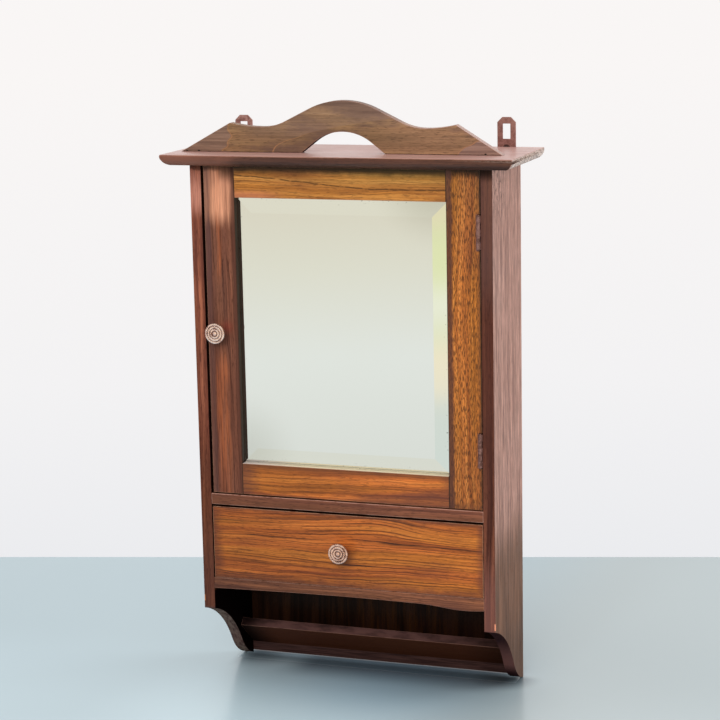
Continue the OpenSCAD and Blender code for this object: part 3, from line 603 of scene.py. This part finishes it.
def painted_sun_patch(s, colour, low, high, share, tint=(248, 172, 134), top_share=0.25):
    """A painted patch of sunlight on the wood from the height low up, ragged along the grain."""
    streak = s.figure((330, 60, 12), detail=4, rough=0.6)
    mask = s.fade(s.plus(s.z, s.times(s.less(streak, 0.5), 0.022)), low - 0.006, low + 0.022)
    fine = s.figure((900, 60, 40))
    return s.over(colour, tint, mask, s.fade(s.z, high, high + 0.035, 1, top_share),
                  s.fade(fine, 0.3, 0.7, 0.7, 1), s.fade(streak, 0.3, 0.66, 0.45, 1), share)


def stile_left_paint(s, colour):
    """Orange streaks in the middle, and a painted patch of sunlight near the top."""
    low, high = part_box("stile_left")
    drift = s.wander(0.008, (0, 0, 12), shift=(3, 0, 0))
    place = s.plus(s.less(s.x, low.x), drift)
    streak = s.figure((420, 0, 16), shift=(0, 1, 0), detail=3, rough=0.6)
    thin = s.times(s.within(place, 0.0165, 0.019, 0.003), s.fade(s.z, 0.05, 0.09))
    wide = s.times(s.within(place, 0.0125, 0.0215, 0.007), s.fall(s.z, -0.05, -0.015))
    fade = s.fade(s.z, -0.2, -0.13, 0.5, 1)
    warm = s.times(s.most(thin, wide), fade, s.fade(streak, 0.36, 0.66, 0.12, 1))
    colour = s.over(colour, (190, 104, 62), warm, 0.65)
    colour = s.over(colour, (150, 50, 44), s.spot((-0.148, None, 0.006), 0.012, 1), 0.3)
    # A painted shadow of the door knob, just below it
    colour = s.over(colour, (62, 34, 28), s.spot((-0.155, None, -0.007), 0.019, 0.8), 0.4)
    grey = s.times(s.within(place, 0, 0.0055, 0.004), s.fade(s.z, -0.02, 0.08, 0.35, 0.6))
    colour = s.over(colour, (98, 68, 64), grey)
    side = s.fade(s.size(s.less(place, 0.021)), 0.006, 0.019, 1, 0.35)
    glow = painted_sun_patch(s, colour, 0.131, 0.17, 0.95, top_share=0.55)
    colour = s.mix(side, colour, glow)
    joint = s.fade(s.less(high.x, s.plus(s.x, s.times(drift, 0.4))), 0.002, 0.006, 0.7, 0)
    colour = s.over(colour, (96, 58, 46), joint)
    outer, inner = shadow_under_top(s, colour, 0.007, 0.4), shadow_under_top(s, colour, 0.024)
    colour = s.mix(s.fade(place, 0.014, 0.026), outer, inner)
    # The inner face is reddish, darker at the top, and grey next to the glass
    shade = s.mix(s.fade(s.z, 0.06, 0.13), (112, 60, 46), (66, 58, 52))
    grey = s.mix(s.fade(s.z, -0.16, -0.1), (112, 102, 98), (64, 52, 45))
    shade = s.mix(s.fade(s.y, -0.1265, -0.1245), shade, grey)
    return s.mix(s.fade(s.facing("x"), 0.6, 0.9), colour, shade)


def stile_right_paint(s, colour):
    """The sides and the foot are dark, and the upper end has an olive tint."""
    low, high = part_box("stile_right")
    uneven = s.wander(0.006, (90, 0, 45), detail=3)
    strip = s.fall(s.plus(s.less(s.x, low.x), uneven), 0.005, 0.0085)
    far_side = s.fall(s.plus(s.less(high.x, s.x), uneven), 0.001, 0.0065)
    foot = s.fall(s.plus(s.less(s.z, low.z), uneven), 0.002, 0.012)
    colour = s.over(colour, (100, 60, 42), s.most(far_side, foot), 0.5)
    colour = s.stained(s.fade(s.z, high.z - 0.1, high.z - 0.01, 0, 0.5), colour, (228, 250, 255))
    colour = s.shaded(colour, s.fade(s.z, -0.19, -0.02, 0.84, 1))
    colour = s.stained(s.within(s.z, -0.1, 0.06, 0.06), colour, (255, 255, 240))
    colour = shadow_under_top(s, colour, 0.012)
    # Rubbed metal has stained the wood beside each hinge
    beside = s.fade(s.x, high.x - 0.0065, high.x - 0.0045)
    for stain_low, stain_high in HINGE_STAINS:
        stain = s.times(s.within(s.z, stain_low, stain_high, 0.0015), beside)
        colour = s.over(colour, (132, 92, 84), stain, 0.7)
    colour = s.over(colour, (84, 50, 42), strip, 0.82)
    # A painted shade lines the edge at the hinges' side, next to the gap
    edge = s.fall(s.less(high.x, s.x), 0.9 * MM, 1.5 * MM)
    return s.over(colour, SHADE_AND_GRIME, edge, s.fade(s.z, -0.2, 0.2, 0.6, 0.95))


def rail_top_paint(s, colour):
    """A dark growth line runs down to the right, with pink wood at the left and olive at the right."""
    low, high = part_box("rail_top")
    drop = s.fade(s.x, low.x + 0.01, 0.06, 0, 0.014)
    wobble = s.wander(0.004, (40, 0, 0), detail=3)
    height = s.less(s.plus(s.z, drop, wobble), high.z - 0.0105)
    line = s.within(height, -0.0006, 0.0003, 0.0006)
    gap = s.fade(s.figure((70, 0, 0)), 0.36, 0.5)
    colour = s.over(colour, (50, 30, 18), line, gap, 0.8)
    shadow = s.within(height, -0.0005, 0.006, 0.003)
    colour = s.over(colour, (122, 78, 30), shadow, 0.3)
    olive = s.times(s.fade(s.x, -0.06, 0.06), s.fade(s.z, high.z - 0.024, high.z - 0.008))
    colour = s.over(colour, (128, 104, 44), olive, 0.5)
    pink = s.times(s.fall(s.x, -0.11, -0.06), s.fall(s.z, low.z + 0.004, low.z + 0.012))
    colour = s.over(colour, (206, 122, 92), pink, 0.5)
    return shadow_under_top(s, colour, 0.012, 0.2)


def rail_bottom_paint(s, colour):
    """Dark stain at the left end, a slanting dark cloud low at the right, a painted highlight on the
    ledge.
    """
    low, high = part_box("rail_bottom")
    ragged = s.wander(0.03, (45, 0, 90), detail=4, rough=0.6)
    left = s.fall(s.plus(s.x, ragged), -SEAM_X + 0.002, -SEAM_X + 0.03)
    slant = s.plus(s.z, s.times(s.x, -0.12), s.times(ragged, 0.35))
    cloud = s.times(s.fall(slant, low.z + 0.002, low.z + 0.009), s.fade(s.x, -0.02, 0.04))
    right = s.fade(s.plus(s.x, s.times(ragged, 0.4)), SEAM_X - 0.014, SEAM_X, 0, 0.7)
    dark = s.most(left, right, cloud)
    colour = s.over(colour, (92, 54, 48), dark, 0.6)
    depth = s.less(high.z, s.plus(s.z, s.times(ragged, 0.1)))
    colour = s.over(colour, (104, 60, 38), s.fade(depth, 0.003, 0.0085, 0.6, 0))
    # The ledge's upward faces are painted cream as a painted highlight
    ledge = s.mix(s.fade(s.x, -0.13, -0.05), (236, 222, 218), (255, 240, 208))
    return s.mix(s.fade(s.facing("z"), 0.5, 0.85), colour, ledge)


def drawer_flow(s):
    """The growth lines near the drawer's upper edge rise in a low hill."""
    low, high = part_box("drawer_front")
    off = s.math("DIVIDE", s.less(s.x, 0.035), 0.07)
    hill = s.math("EXPONENT", s.times(off, off, -1))
    upper = s.fade(s.z, low.z + 0.04, high.z - 0.005)
    return s.times(hill, upper, -0.009)


def drawer_paint(s, colour):
    """A dark growth line runs along the hill in the figure, and a painted shadow of the knob lies round
    it.
    """
    height = s.plus(s.z, drawer_flow(s))
    line = s.times(s.within(height, -0.2335, -0.2325, 0.0012), s.within(s.x, -0.1, 0.08, 0.03))
    colour = s.over(colour, (84, 48, 34), line, 0.6)
    knob_shadow = s.spot((-0.001, None, -0.2745), 0.021, 0.8)
    return s.over(colour, (84, 40, 28), knob_shadow, 0.55)


def pediment_paint(s, colour):
    """Purple tips with a thin bright rim, clouds along the upper edge, and a dark joint at the foot."""
    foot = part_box("pediment")[0].z
    bend = s.wander(0.06, (25, 0, 60), shift=(0, 7.7, 0), detail=1)
    streak = s.figure((12, 0, 330), shift=(0, 5.3, 0), detail=3, rough=0.6)
    grey = s.mix(s.fade(streak, 0.35, 0.65), (120, 92, 86), (162, 128, 116))
    cloud = s.figure((9, 0, 26), shift=(0, 3.1, 0), detail=4, rough=0.62)
    rise = s.fade(s.less(s.z, foot), 0.018, 0.062, 0, 0.14)
    colour = s.over(colour, (104, 76, 74), s.fade(s.plus(cloud, rise), 0.5, 0.68, 0, 0.7))
    # A growth ring's rim is a slanting, wavy line. Outside it the tip is grey.
    for side, place, slant in ((-1, 0.152, 0.5), (1, 0.157, -0.9)):
        ring = s.plus(s.times(s.x, side), bend, s.times(s.less(s.z, foot + 0.012), slant))
        colour = s.mix(s.fade(ring, place, place + 0.004, 0, 0.8), colour, grey)
        rim = s.within(ring, place - 0.0006, place + 0.0004, 0.0008)
        colour = s.over(colour, (196, 134, 98), rim, 0.5)
    # Another rim bends to the right as it rises, with a purple cloud over it
    height = s.less(s.z, foot)
    bow = s.plus(s.x, s.times(bend, 0.2), s.times(height, height, -85))
    cloud = s.times(s.fall(bow, -0.0925, -0.0895), s.fade(height, 0.01, 0.024),
                    s.fade(s.x, -0.15, -0.1))
    colour = s.over(colour, grey, cloud, 0.35)
    faint = s.times(s.within(bow, -0.0895, -0.0887, 0.001), s.fall(height, 0.016, 0.028))
    colour = s.over(colour, (192, 136, 98), faint, 0.6)
    joint = s.plus(height, s.wander(0.001, (90, 0, 0)))
    colour = s.mix(s.fade(joint, 0.0007, 0.0014, 0.85, 0), colour, SHADE_AND_GRIME)
    colour = s.stained(s.fall(s.x, 0.02, 0.1), colour, (238, 240, 228))
    # The arch's own faces get a near-black painted shade, and the pins' holes are dark
    arch = s.times(s.fall(s.size(s.facing("y")), 0.8, 0.96),
                   s.fall(s.size(s.x), 0.066, 0.07), s.fall(s.z, foot + 0.035, foot + 0.04))
    colour = s.over(colour, SHADE_AND_GRIME, arch, 0.9)
    # Upward faces get a pale painted highlight, stronger towards the right
    upper = s.times(s.fade(s.facing("z"), 0.3, 0.5), s.fade(s.x, 0.02, 0.15, 0.1, 0.85))
    colour = s.over(colour, (206, 172, 162), upper)
    for place, radius in PIN_HOLES:
        colour = s.over(colour, (10, 6, 6), s.spot((place, None, foot + 0.9 * MM), radius))
    return colour


def top_board_paint(s, colour):
    """The upper face is a pale pinkish grey, a painted sheen, and the end grain at the right is rubbed
    bare.
    """
    upper = s.fade(s.facing("z"), 0.6, 0.95)
    streak = s.figure((6, 260, 0), detail=4, rough=0.65)
    pale = s.mix(s.fade(streak, 0.3, 0.58), (184, 132, 122), (236, 190, 180))
    colour = s.over(colour, pale, upper, 0.92)
    # Faces turned down get a painted shade
    colour = s.shaded(colour, s.fade(s.facing("z"), -0.9, 0.5, 0.35, 1))
    end = s.fade(s.facing("x"), 0.2, 0.6)
    hatch = s.figure((300, 190, 700), detail=3, rough=0.6)
    bare = s.mix(s.fade(hatch, 0.4, 0.54), (104, 74, 62), (222, 196, 182))
    colour = s.over(colour, bare, end, 0.85)
    # A painted pink light lies on the front edge at the left
    uneven = s.times(s.less(s.noise(s.place, 25, 3), 0.5), 0.12)
    pink = s.fade(s.plus(s.x, uneven), -0.19, -0.09, 0.45, 0)
    return s.over(colour, (176, 108, 84), pink, s.fall(s.facing("z"), 0.3, 0.6))


def side_outer_paint(s, colour):
    """The outer face of a side board is pale from fading and a painted sheen, and darker near the foot.
    """
    jag = s.wander(0.0028, (0, 60, 90), shift=(8, 0, 0))
    depth = s.plus(s.y, jag)
    grain = s.noise(s.joined(11, s.times(depth, 150), s.times(s.z, 7)), 1, 3, 0.6)
    hair = s.noise(s.joined(4, s.times(depth, 330), s.times(s.z, 36)), 1, 3, 0.65)
    faded_and_sheen = s.mix(s.fade(grain, 0.3, 0.64), (144, 106, 95), (200, 153, 138))
    faded_and_sheen = s.shaded(faded_and_sheen, s.fade(hair, 0.34, 0.62, 0.66, 1.16))
    foot = s.mix(s.fade(grain, 0.3, 0.7), (82, 56, 42), (142, 103, 82))
    foot = s.stained(s.fall(s.z, -0.42, -0.33), foot, (206, 206, 200))
    faded_and_sheen = s.mix(s.fall(s.z, -0.29, -0.2), faded_and_sheen, foot)
    outer = s.times(s.fade(s.size(s.facing("x")), 0.6, 0.95),
                    s.fade(s.size(s.x), OUTER_X, OUTER_X + 2 * MM))
    return s.over(colour, faded_and_sheen, outer, 0.9)


def painted_gap_shade(s, colour, inward):
    """Painted shade on the inner face of a side board where the door stands close to it."""
    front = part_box("side_left")[0].y
    near = s.times(s.fall(s.y, front + 0.012, front + 0.02), s.fade(inward, 0.8, 0.98))
    return s.over(colour, SHADE_AND_GRIME, near, s.fade(s.z, -0.325, -0.32), 0.9)


def side_right_paint(s, colour):
    """Torn pores near the upper front corner, a short crack, and a chip that shows raw wood."""
    colour = side_outer_paint(s, colour)
    colour = painted_gap_shade(s, colour, s.times(s.facing("x"), -1))
    front = front_face(s)
    dark = s.times(front, s.within(s.z, -0.2, 0.06, 0.1), 0.4)
    colour = s.over(colour, (74, 44, 38), dark)
    upper = s.times(front, s.fade(s.z, 0.02, 0.1), 0.5)
    colour = s.over(colour, (102, 74, 68), upper)
    colour = s.mix(front, colour, shadow_under_top(s, colour, 0.016, 0.2))
    # The foot's lower curve gets a near-black painted shade
    curve = s.times(s.fall(s.facing("x"), 0.3, 0.6), s.fall(s.z, -0.358, -0.353))
    colour = s.over(colour, (38, 16, 22), curve, 0.92)
    low = s.times(front, s.fall(s.z, -0.32, -0.24), 0.4)
    colour = s.over(colour, (150, 102, 94), low)
    pores = s.figure((0, 420, 110), shift=(5, 0, 0))
    top = s.times(s.fade(s.z, 0.1, 0.19), s.fade(s.y, -0.1, -0.05, 1, 0.15),
                  s.fade(s.facing("x"), 0.6, 0.9))
    colour = s.over(colour, (60, 36, 30), s.fade(pores, 0.54, 0.6), top, 0.8)
    crack = s.times(s.within(s.y, -0.0665, -0.066, 0.0006), s.within(s.z, -0.225, -0.175, 0.006))
    colour = s.over(colour, (50, 32, 28), crack, 0.7)
    chip = s.times(s.spot(CHIP_RIGHT, 1.8 * MM), s.within(s.z, -0.353, -0.3455, 0.0008))
    return s.over(colour, (248, 160, 124), chip)


def side_left_paint(s, colour):
    """Painted sunlight at the top, grey-brown streaks on the foot's curve, a small chip at its front
    corner.
    """
    colour = side_outer_paint(s, colour)
    curve = s.times(s.fade(s.facing("x"), -0.6, -0.3), s.fall(s.z, -0.356, -0.352))
    hatch = s.figure((300, 120, 120), rough=0.6)
    bare = s.mix(s.fade(hatch, 0.35, 0.65), (78, 62, 58), (122, 104, 94))
    colour = s.over(colour, bare, curve, 0.9)
    # The inner face low in the niche gets a near-black painted shade
    inner = s.times(s.fade(s.facing("x"), 0.6, 0.9), s.fall(s.z, -0.335, -0.325))
    colour = s.over(colour, (10, 4, 4), inner)
    front = front_face(s)
    # The front is brighter over the middle heights, a weaker part of the painted sunlight
    red = s.times(s.within(s.z, -0.06, 0.2, 0.12), front)
    colour = s.shaded(colour, s.plus(1, s.times(red, 0.6)))
    dark = s.times(s.fall(s.z, -0.3, -0.22), front)
    colour = s.over(colour, (76, 50, 50), dark, 0.4)
    colour = s.mix(front, colour, painted_sun_patch(s, colour, 0.142, 0.168, 0.7, (236, 160, 136)))
    colour = s.mix(front, colour, shadow_under_top(s, colour, 0.006, 0.4))
    colour = painted_gap_shade(s, colour, s.facing("x"))
    chip = s.times(s.spot(CHIP_LEFT, 1.4 * MM), s.within(s.z, -0.346, -0.339, 0.0008))
    return s.over(colour, (206, 132, 84), chip)


def niche_paint(s, colour):
    """Brown streaks, strongest in the middle, in a dark ground halved in brightness as painted shade.
    """
    streak = s.figure((150, 0, 10), detail=3, rough=0.6)
    brown = s.times(s.fade(streak, 0.44, 0.74, 0, 0.8),
                    s.fade(s.size(s.less(s.x, 0.02)), 0.03, 0.12, 1, 0.08))
    colour = s.shaded(s.over(colour, (104, 58, 18), brown), 0.5)
    # Under the tray the panel is a redder brown with the marks of a plane across it
    mark = s.figure((22, 0, 800), detail=3, rough=0.6)
    red = s.mix(s.fade(mark, 0.35, 0.65), (44, 27, 25), (74, 50, 46))
    return s.mix(s.fall(s.z, -0.43, -0.425), colour, red)


def tray_paint(s, colour):
    """The upper edge has a purple painted sheen, the under side is olive brown, and the ends get
    painted shade.
    """
    patch = s.figure((28, 0, 120), shift=(0, 2, 0), detail=3, rough=0.6)
    upper_sheen = s.mix(s.fade(patch, 0.32, 0.6), (62, 43, 42), (104, 72, 68))
    upper_sheen = s.shaded(upper_sheen, s.fade(s.x, 0.04, 0.15, 1, 0.6))
    colour = s.mix(s.fade(s.facing("z"), 0.1, 0.5, 0, 0.8), colour, upper_sheen)
    colour = s.over(colour, (80, 38, 18), s.fade(s.facing("z"), -0.5, -0.1, 0.7, 0))
    colour = s.shaded(colour, s.fade(s.x, 0.11, 0.165, 1, 0.55))
    return s.shaded(colour, s.fade(s.x, -0.174, -0.128, 0.12, 1))


def plate_paint(s, colour):
    """A dark screw seat shows at the foot of each plate, above the top board."""
    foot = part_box("top_board")[1].z
    for node in ("hanging_plate_left", "hanging_plate_right"):
        low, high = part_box(node)
        seat = s.spot(((low.x + high.x) / 2, None, foot - 1.5 * MM), 5 * MM, 0.2)
        colour = s.over(colour, (58, 52, 54), seat, 0.8)
    return colour


# The case
board("top_board", CASE, "X", 1, TOP_ARRIS, 3, rough=0.34, level=0.4, paint=top_board_paint, wear=0.75)
board("pediment", CASE, "X", 2, rough=0.44, paint=pediment_paint, streaks=60, line_share=0.15,
      dark=(128, 92, 66), body=(164, 120, 88), light=(194, 148, 110),
      tone=(146, 114, 86), cloud=(122, 92, 78))
board("side_left", CASE, "Z", 3, level=0.01, paint=side_left_paint)
board("side_right", CASE, "Z", 4, level=0.05, paint=side_right_paint)
board("divider", CASE, "X", 5, DIVIDER_ARRIS, wear=1, body=(118, 68, 50), light=(146, 88, 62),
      slope=(-0.05, 1.04, 0.12, 1.6), grimy=(("z", -1),))
board("apron", CASE, "X", 6, wear=0.5, body=(120, 72, 50), light=(150, 92, 62),
      slope=(-0.05, 1, 0.12, 1.36))
board("floor_board", CASE, "X", 7)
board("tray_board", CASE, "X", 8, paint=tray_paint, wear=0.3, level=0.1,
      dark=(44, 26, 20), body=(70, 42, 32), light=(88, 54, 40))
board("back_panel", CASE, "Z", 9, paint=niche_paint, wear=0.3, level=0.08,
      dark=(30, 17, 12), body=(44, 26, 18), light=(58, 34, 22))

# The door and the drawer front
board("stile_left", FRAME, "Z", 11, paint=stile_left_paint, seams=True, level=0.1,
      dark=(76, 42, 36), body=(118, 70, 54), light=(150, 92, 68), tone=(112, 74, 60),
      line_share=0.6, streaks=260, grimy=(("x", -1), ("z", -1)), shade_from=SHADE_FROM)
board("stile_right", FRAME, "Z", 12, paint=stile_right_paint, seams=True,
      dark=(150, 78, 36), body=(204, 116, 54), light=(240, 148, 74), line=(66, 38, 24),
      line_share=0.3, streaks=330, grimy=(("x", 1), ("z", -1)), shade_from=SHADE_FROM,
      pore_along=0.0075, pore_across=0.001, pore_low=0.49, pore_share=0.72)
board("rail_top", FRAME, "X", 13, paint=rail_top_paint, seams=True,
      dark=(158, 94, 42), body=(216, 138, 64), light=(238, 164, 84),
      line_share=0.5, grimy=(("z", 1),), shade_from=SHADE_FROM,
      # The widest dark band, along the top, is a painted shadow under the top board; the rest is stain
      edges=("rail_top", (0.004, 0.004, 0.003, 0.012)), edge_share=0.5)
board("rail_bottom", FRAME, "X", 14, paint=rail_bottom_paint, seams=True,
      line_share=0.55, wave=0.0036, slope=(-0.06, 1, 0.08, 1.45), grimy=(("z", -1),),
      edges=("rail_bottom", (0.006, 0.006, 0.005, 0.006)), edge_share=0.55)
board("drawer_front", FRAME, "X", 15, flow=drawer_flow, paint=drawer_paint, wear=0.9,
      slope=(-0.14, 0.9, 0.14, 1.2), grimy=(("z", 1), ("z", -1)),
      edges=("drawer_front", (0.018, 0.012, 0.012, 0.006)), edge_share=0.75)

# Inner pieces of plain wood
inner_x = wood("inner_wood_x", PLAIN, "X", 21)
inner_y = wood("inner_wood_y", PLAIN, "Y", 22)
inner_z = wood("inner_wood_z", PLAIN, "Z", 23)
for node in ("shelf_upper", "shelf_lower", "door_stop", "drawer_back", "drawer_bottom"):
    softened(node, inner_x)
for node in ("shelf_cleats", "drawer_stops", "drawer_side_left", "drawer_side_right"):
    softened(node, inner_y)
for node in ("mirror_backing", "mirror_beads"):
    softened(node, inner_z, THIN_ARRIS)

# Metal and glass
steel = metal("worn_steel", (160, 120, 116), (98, 64, 58), (186, 158, 156), 0.7, rough=0.45)
door_copper = metal("door_copper", (255, 226, 216), (236, 182, 168), (255, 246, 246), 0.5,
                    rough=0.3, groove=(104, 64, 50))
drawer_copper = metal("drawer_copper", (250, 208, 192), (206, 146, 128), (255, 236, 230),
                      0.5, rough=0.3, seed=3, groove=(88, 52, 38))
plate = metal("plate_metal", (190, 146, 142), (138, 92, 90), (222, 190, 184), 0.6,
              rough=0.45, paint=plate_paint)
for node in ("hanging_plate_left", "hanging_plate_right"):
    softened(node, plate, PLATE_ARRIS)
for node in ("hanging_screws", "hinge_leaves_case", "hinge_pins", "hinge_screws_case",
             "hinge_leaves_door", "hinge_screws_door", "catch_strike", "catch_clip",
             "door_knob_screw", "drawer_knob_screw"):
    dressed(node, steel)
turned_knob("door_knob", door_copper)
turned_knob("drawer_knob", drawer_copper)
dressed("mirror_plate", mirror_glass())


# Floor, lamps, room and camera

FLOOR_REACH = 3.5
FLOOR_FRONT = -0.58
FLOOR_ROUGH = 0.24
# The lamps by name: place, aim, width and height, and watts
LAMPS = {
    "key": ((0.25, -2.3, 1.0), (0, 0, 0), (1.1, 1.1), 28),
    "back": ((-0.7, 1.9, 0.95), (0, 0, 0.1), (2.4, 1.1), 14),
    "side": ((1.8, 0.9, 0.2), (0.15, -0.05, -0.05), (0.9, 1.0), 17),
}
WHITE = (255, 255, 255)
BLACK = (0, 0, 0)


def floor_material():
    s = Surface("pale_floor")
    cloud = s.noise(s.place, 1.2, 2)
    colour = s.mix(s.fade(cloud, 0.3, 0.7), (181, 203, 212), (187, 208, 216))
    # The floor gets painted light in front of the cabinet and a cooler painted shadow under it, and is
    # warmer at the right
    colour = s.shaded(colour, s.fade(s.y, -0.25, 0.05, 1.17, 1))
    colour = s.shaded(colour, s.plus(1, s.times(s.spot((-0.05, -0.24, None), 0.28, 1), 0.36)))
    colour = s.stained(s.spot((0.05, -0.03, None), 0.24, 1), colour, (222, 234, 244))
    colour = s.stained(s.fade(s.x, 0, 0.24), colour, (249, 239, 233))
    # The deepest shadow lies close under the panel and at both feet
    behind = s.fall(s.y, 0.025, 0.05)
    middle = s.times(s.within(s.x, -0.08, 0.14, 0.055), s.fade(s.y, -0.085, -0.02),
                     s.fall(s.y, 0.015, 0.05))
    edge = s.times(s.fade(s.y, -0.045, 0), behind, s.within(s.x, -0.17, 0.165, 0.016))
    left = s.times(s.spot((-0.17, 0.005, None), 0.075, 1), s.fade(s.x, -0.2, -0.182), behind)
    right = s.times(s.spot((0.172, -0.014, None), 0.05, 1), s.fall(s.y, -0.01, 0.01))
    for share, tint in ((middle, (148, 154, 160)), (edge, (168, 170, 174)),
                        (left, (140, 146, 152)), (right, (112, 118, 124))):
        colour = s.stained(share, colour, tint)
    # Dust under the panel keeps the wall's reflection out of that shadow, but for a thin line
    dust = s.times(s.fade(s.y, -0.026, -0.022), s.fall(s.y, 0.002, 0.009),
                   s.within(s.x, -0.185, 0.18, 0.008))
    return s.finish(Base_Color=colour, Roughness=s.plus(FLOOR_ROUGH, s.times(dust, 1 - FLOOR_ROUGH)))


def floor():
    """A pale floor that ends behind the cabinet along one row of the photograph. Its front part
    isn't seen by the mirror, which shows a bright room."""
    right, up, forward = camera_axes()
    eye = Vector(CAMERA_PLACE_MM) * MM
    level = CAD_BOX[0][2]
    half = FRAME_PIXELS / 2
    corners = []
    for column in (0, FRAME_PIXELS):
        ray = (forward + (column - half) / FOCAL_PIXELS * right
               - (HORIZON_ROW - half) / FOCAL_PIXELS * up)
        corners.append(eye + ray * ((level - eye.z) / ray.z))
    side = (corners[1] - corners[0]).normalized()
    middle = corners[0] + side * (Vector((0, 0, level)) - corners[0]).dot(side)
    ends = [middle - side * FLOOR_REACH, middle + side * FLOOR_REACH]
    middles = [(end.x, FLOOR_FRONT, level) for end in ends]
    fronts = [(end.x, FLOOR_FRONT - FLOOR_REACH, level) for end in ends]
    material = floor_material()
    for name, near, far in (("floor", middles, ends), ("floor_front", fronts, middles)):
        mesh = bpy.data.meshes.new(name)
        outline = [tuple(point) for point in (far[0], far[1], near[1], near[0])]
        mesh.from_pydata(outline, [], [(3, 2, 1, 0)])
        mesh.materials.append(material)
        piece = bpy.data.objects.new(name, mesh)
        bpy.context.scene.collection.objects.link(piece)
        piece.visible_glossy = name == "floor"


def lamp(name, place, aim, size, watts):
    data = bpy.data.lights.new(name, "AREA")
    data.shape = "RECTANGLE"
    data.size, data.size_y = size
    data.energy = watts
    light = bpy.data.objects.new(name, data)
    bpy.context.scene.collection.objects.link(light)
    light.location = place
    light.rotation_euler = (Vector(aim) - Vector(place)).to_track_quat("-Z", "Y").to_euler()
    light.visible_camera = False
    light.visible_glossy = False


def world():
    """White wall to the camera, a pale room to the mirror, and soft light on the rest."""
    scene_world = bpy.data.worlds.new("studio")
    scene_world.use_nodes = True
    bpy.context.scene.world = scene_world
    w = Nodes(scene_world.node_tree)

    def ramp(value, low, high, stops):
        """Colours by value. The stops are pairs of a value and a colour."""
        place = w.made("ShaderNodeMapRange", {"Value": value, "From Min": low, "From Max": high})
        node = w.add("ShaderNodeValToRGB")
        elements = node.color_ramp.elements
        elements.remove(elements[1])
        elements[0].position = (stops[0][0] - low) / (high - low)
        elements[0].color = linear(stops[0][1])
        for at, colour in stops[1:]:
            elements.new((at - low) / (high - low)).color = linear(colour)
        w.put(node, {0: place})
        return node.outputs[0]

    def background(colour, strength=1):
        return w.made("ShaderNodeBackground", {"Color": linear(colour), "Strength": strength})

    def either(share, first, second):
        """The first where the share is 0 and the second where it is 1."""
        return w.made("ShaderNodeMixShader", {0: share, 1: first, 2: second})

    x, y, z = w.parts(w.add("ShaderNodeTexCoord").outputs["Generated"])
    wall = ramp(z, -0.5, 0.5, ((-0.29, (234, 235, 238)), (-0.2, (243, 242, 243)),
                               (-0.06, (249, 246, 245)), (0.3, (250, 248, 247))))
    room = ramp(z, -0.6, 0.6, ((-0.45, (222, 222, 212)), (-0.3, (222, 224, 217)),
                               (-0.24, (224, 226, 221)), (-0.19, (232, 234, 229)),
                               (-0.15, (228, 225, 210)), (-0.12, (224, 217, 199)),
                               (0.1, (228, 223, 206)), (0.3, (190, 188, 182)),
                               (0.5, (160, 160, 158))))
    # To the right of the mirror's own view the room is a warm yellow
    turn = w.made("ShaderNodeMath", {0: x, 1: y}, operation="DIVIDE")
    front = ramp(y, -1, 1, ((-0.2, WHITE), (0.1, BLACK)))
    warm = ramp(turn, -0.5, 0.5, ((0.08, WHITE), (0.2, BLACK)))
    glow = ramp(z, -0.6, 0.6, ((-0.25, (214, 222, 217)), (-0.217, (216, 222, 215)),
                               (-0.207, (240, 232, 210)), (-0.193, (246, 234, 206)),
                               (-0.18, (232, 234, 202)), (-0.167, (244, 244, 230)),
                               (-0.155, (228, 232, 180)), (-0.135, (228, 232, 184)),
                               (-0.127, (253, 240, 204)), (-0.12, (253, 242, 210))))
    seen = w.mix(front, (252, 250, 249), w.mix(warm, room, glow))
    path = w.add("ShaderNodeLightPath").outputs
    lit = either(path["Is Glossy Ray"], background(WHITE, 0.55), background(seen))
    shown = either(path["Is Camera Ray"], lit, background(wall))
    w.put(w.add("ShaderNodeOutputWorld"), {"Surface": shown})


def camera():
    right, up, forward = camera_axes()
    data = bpy.data.cameras.new("camera")
    data.sensor_width = SENSOR_MM
    data.lens = FOCAL_PIXELS / FRAME_PIXELS * SENSOR_MM
    data.clip_end = FAR
    view = bpy.data.objects.new("camera", data)
    bpy.context.scene.collection.objects.link(view)
    turn = Matrix((right, up, -forward)).transposed().to_4x4()
    view.matrix_world = Matrix.Translation(Vector(CAMERA_PLACE_MM) * MM) @ turn
    bpy.context.scene.camera = view


floor()
for lamp_name, settings in LAMPS.items():
    lamp(lamp_name, *settings)
world()
camera()
bpy.context.scene.view_settings.view_transform = "Standard"
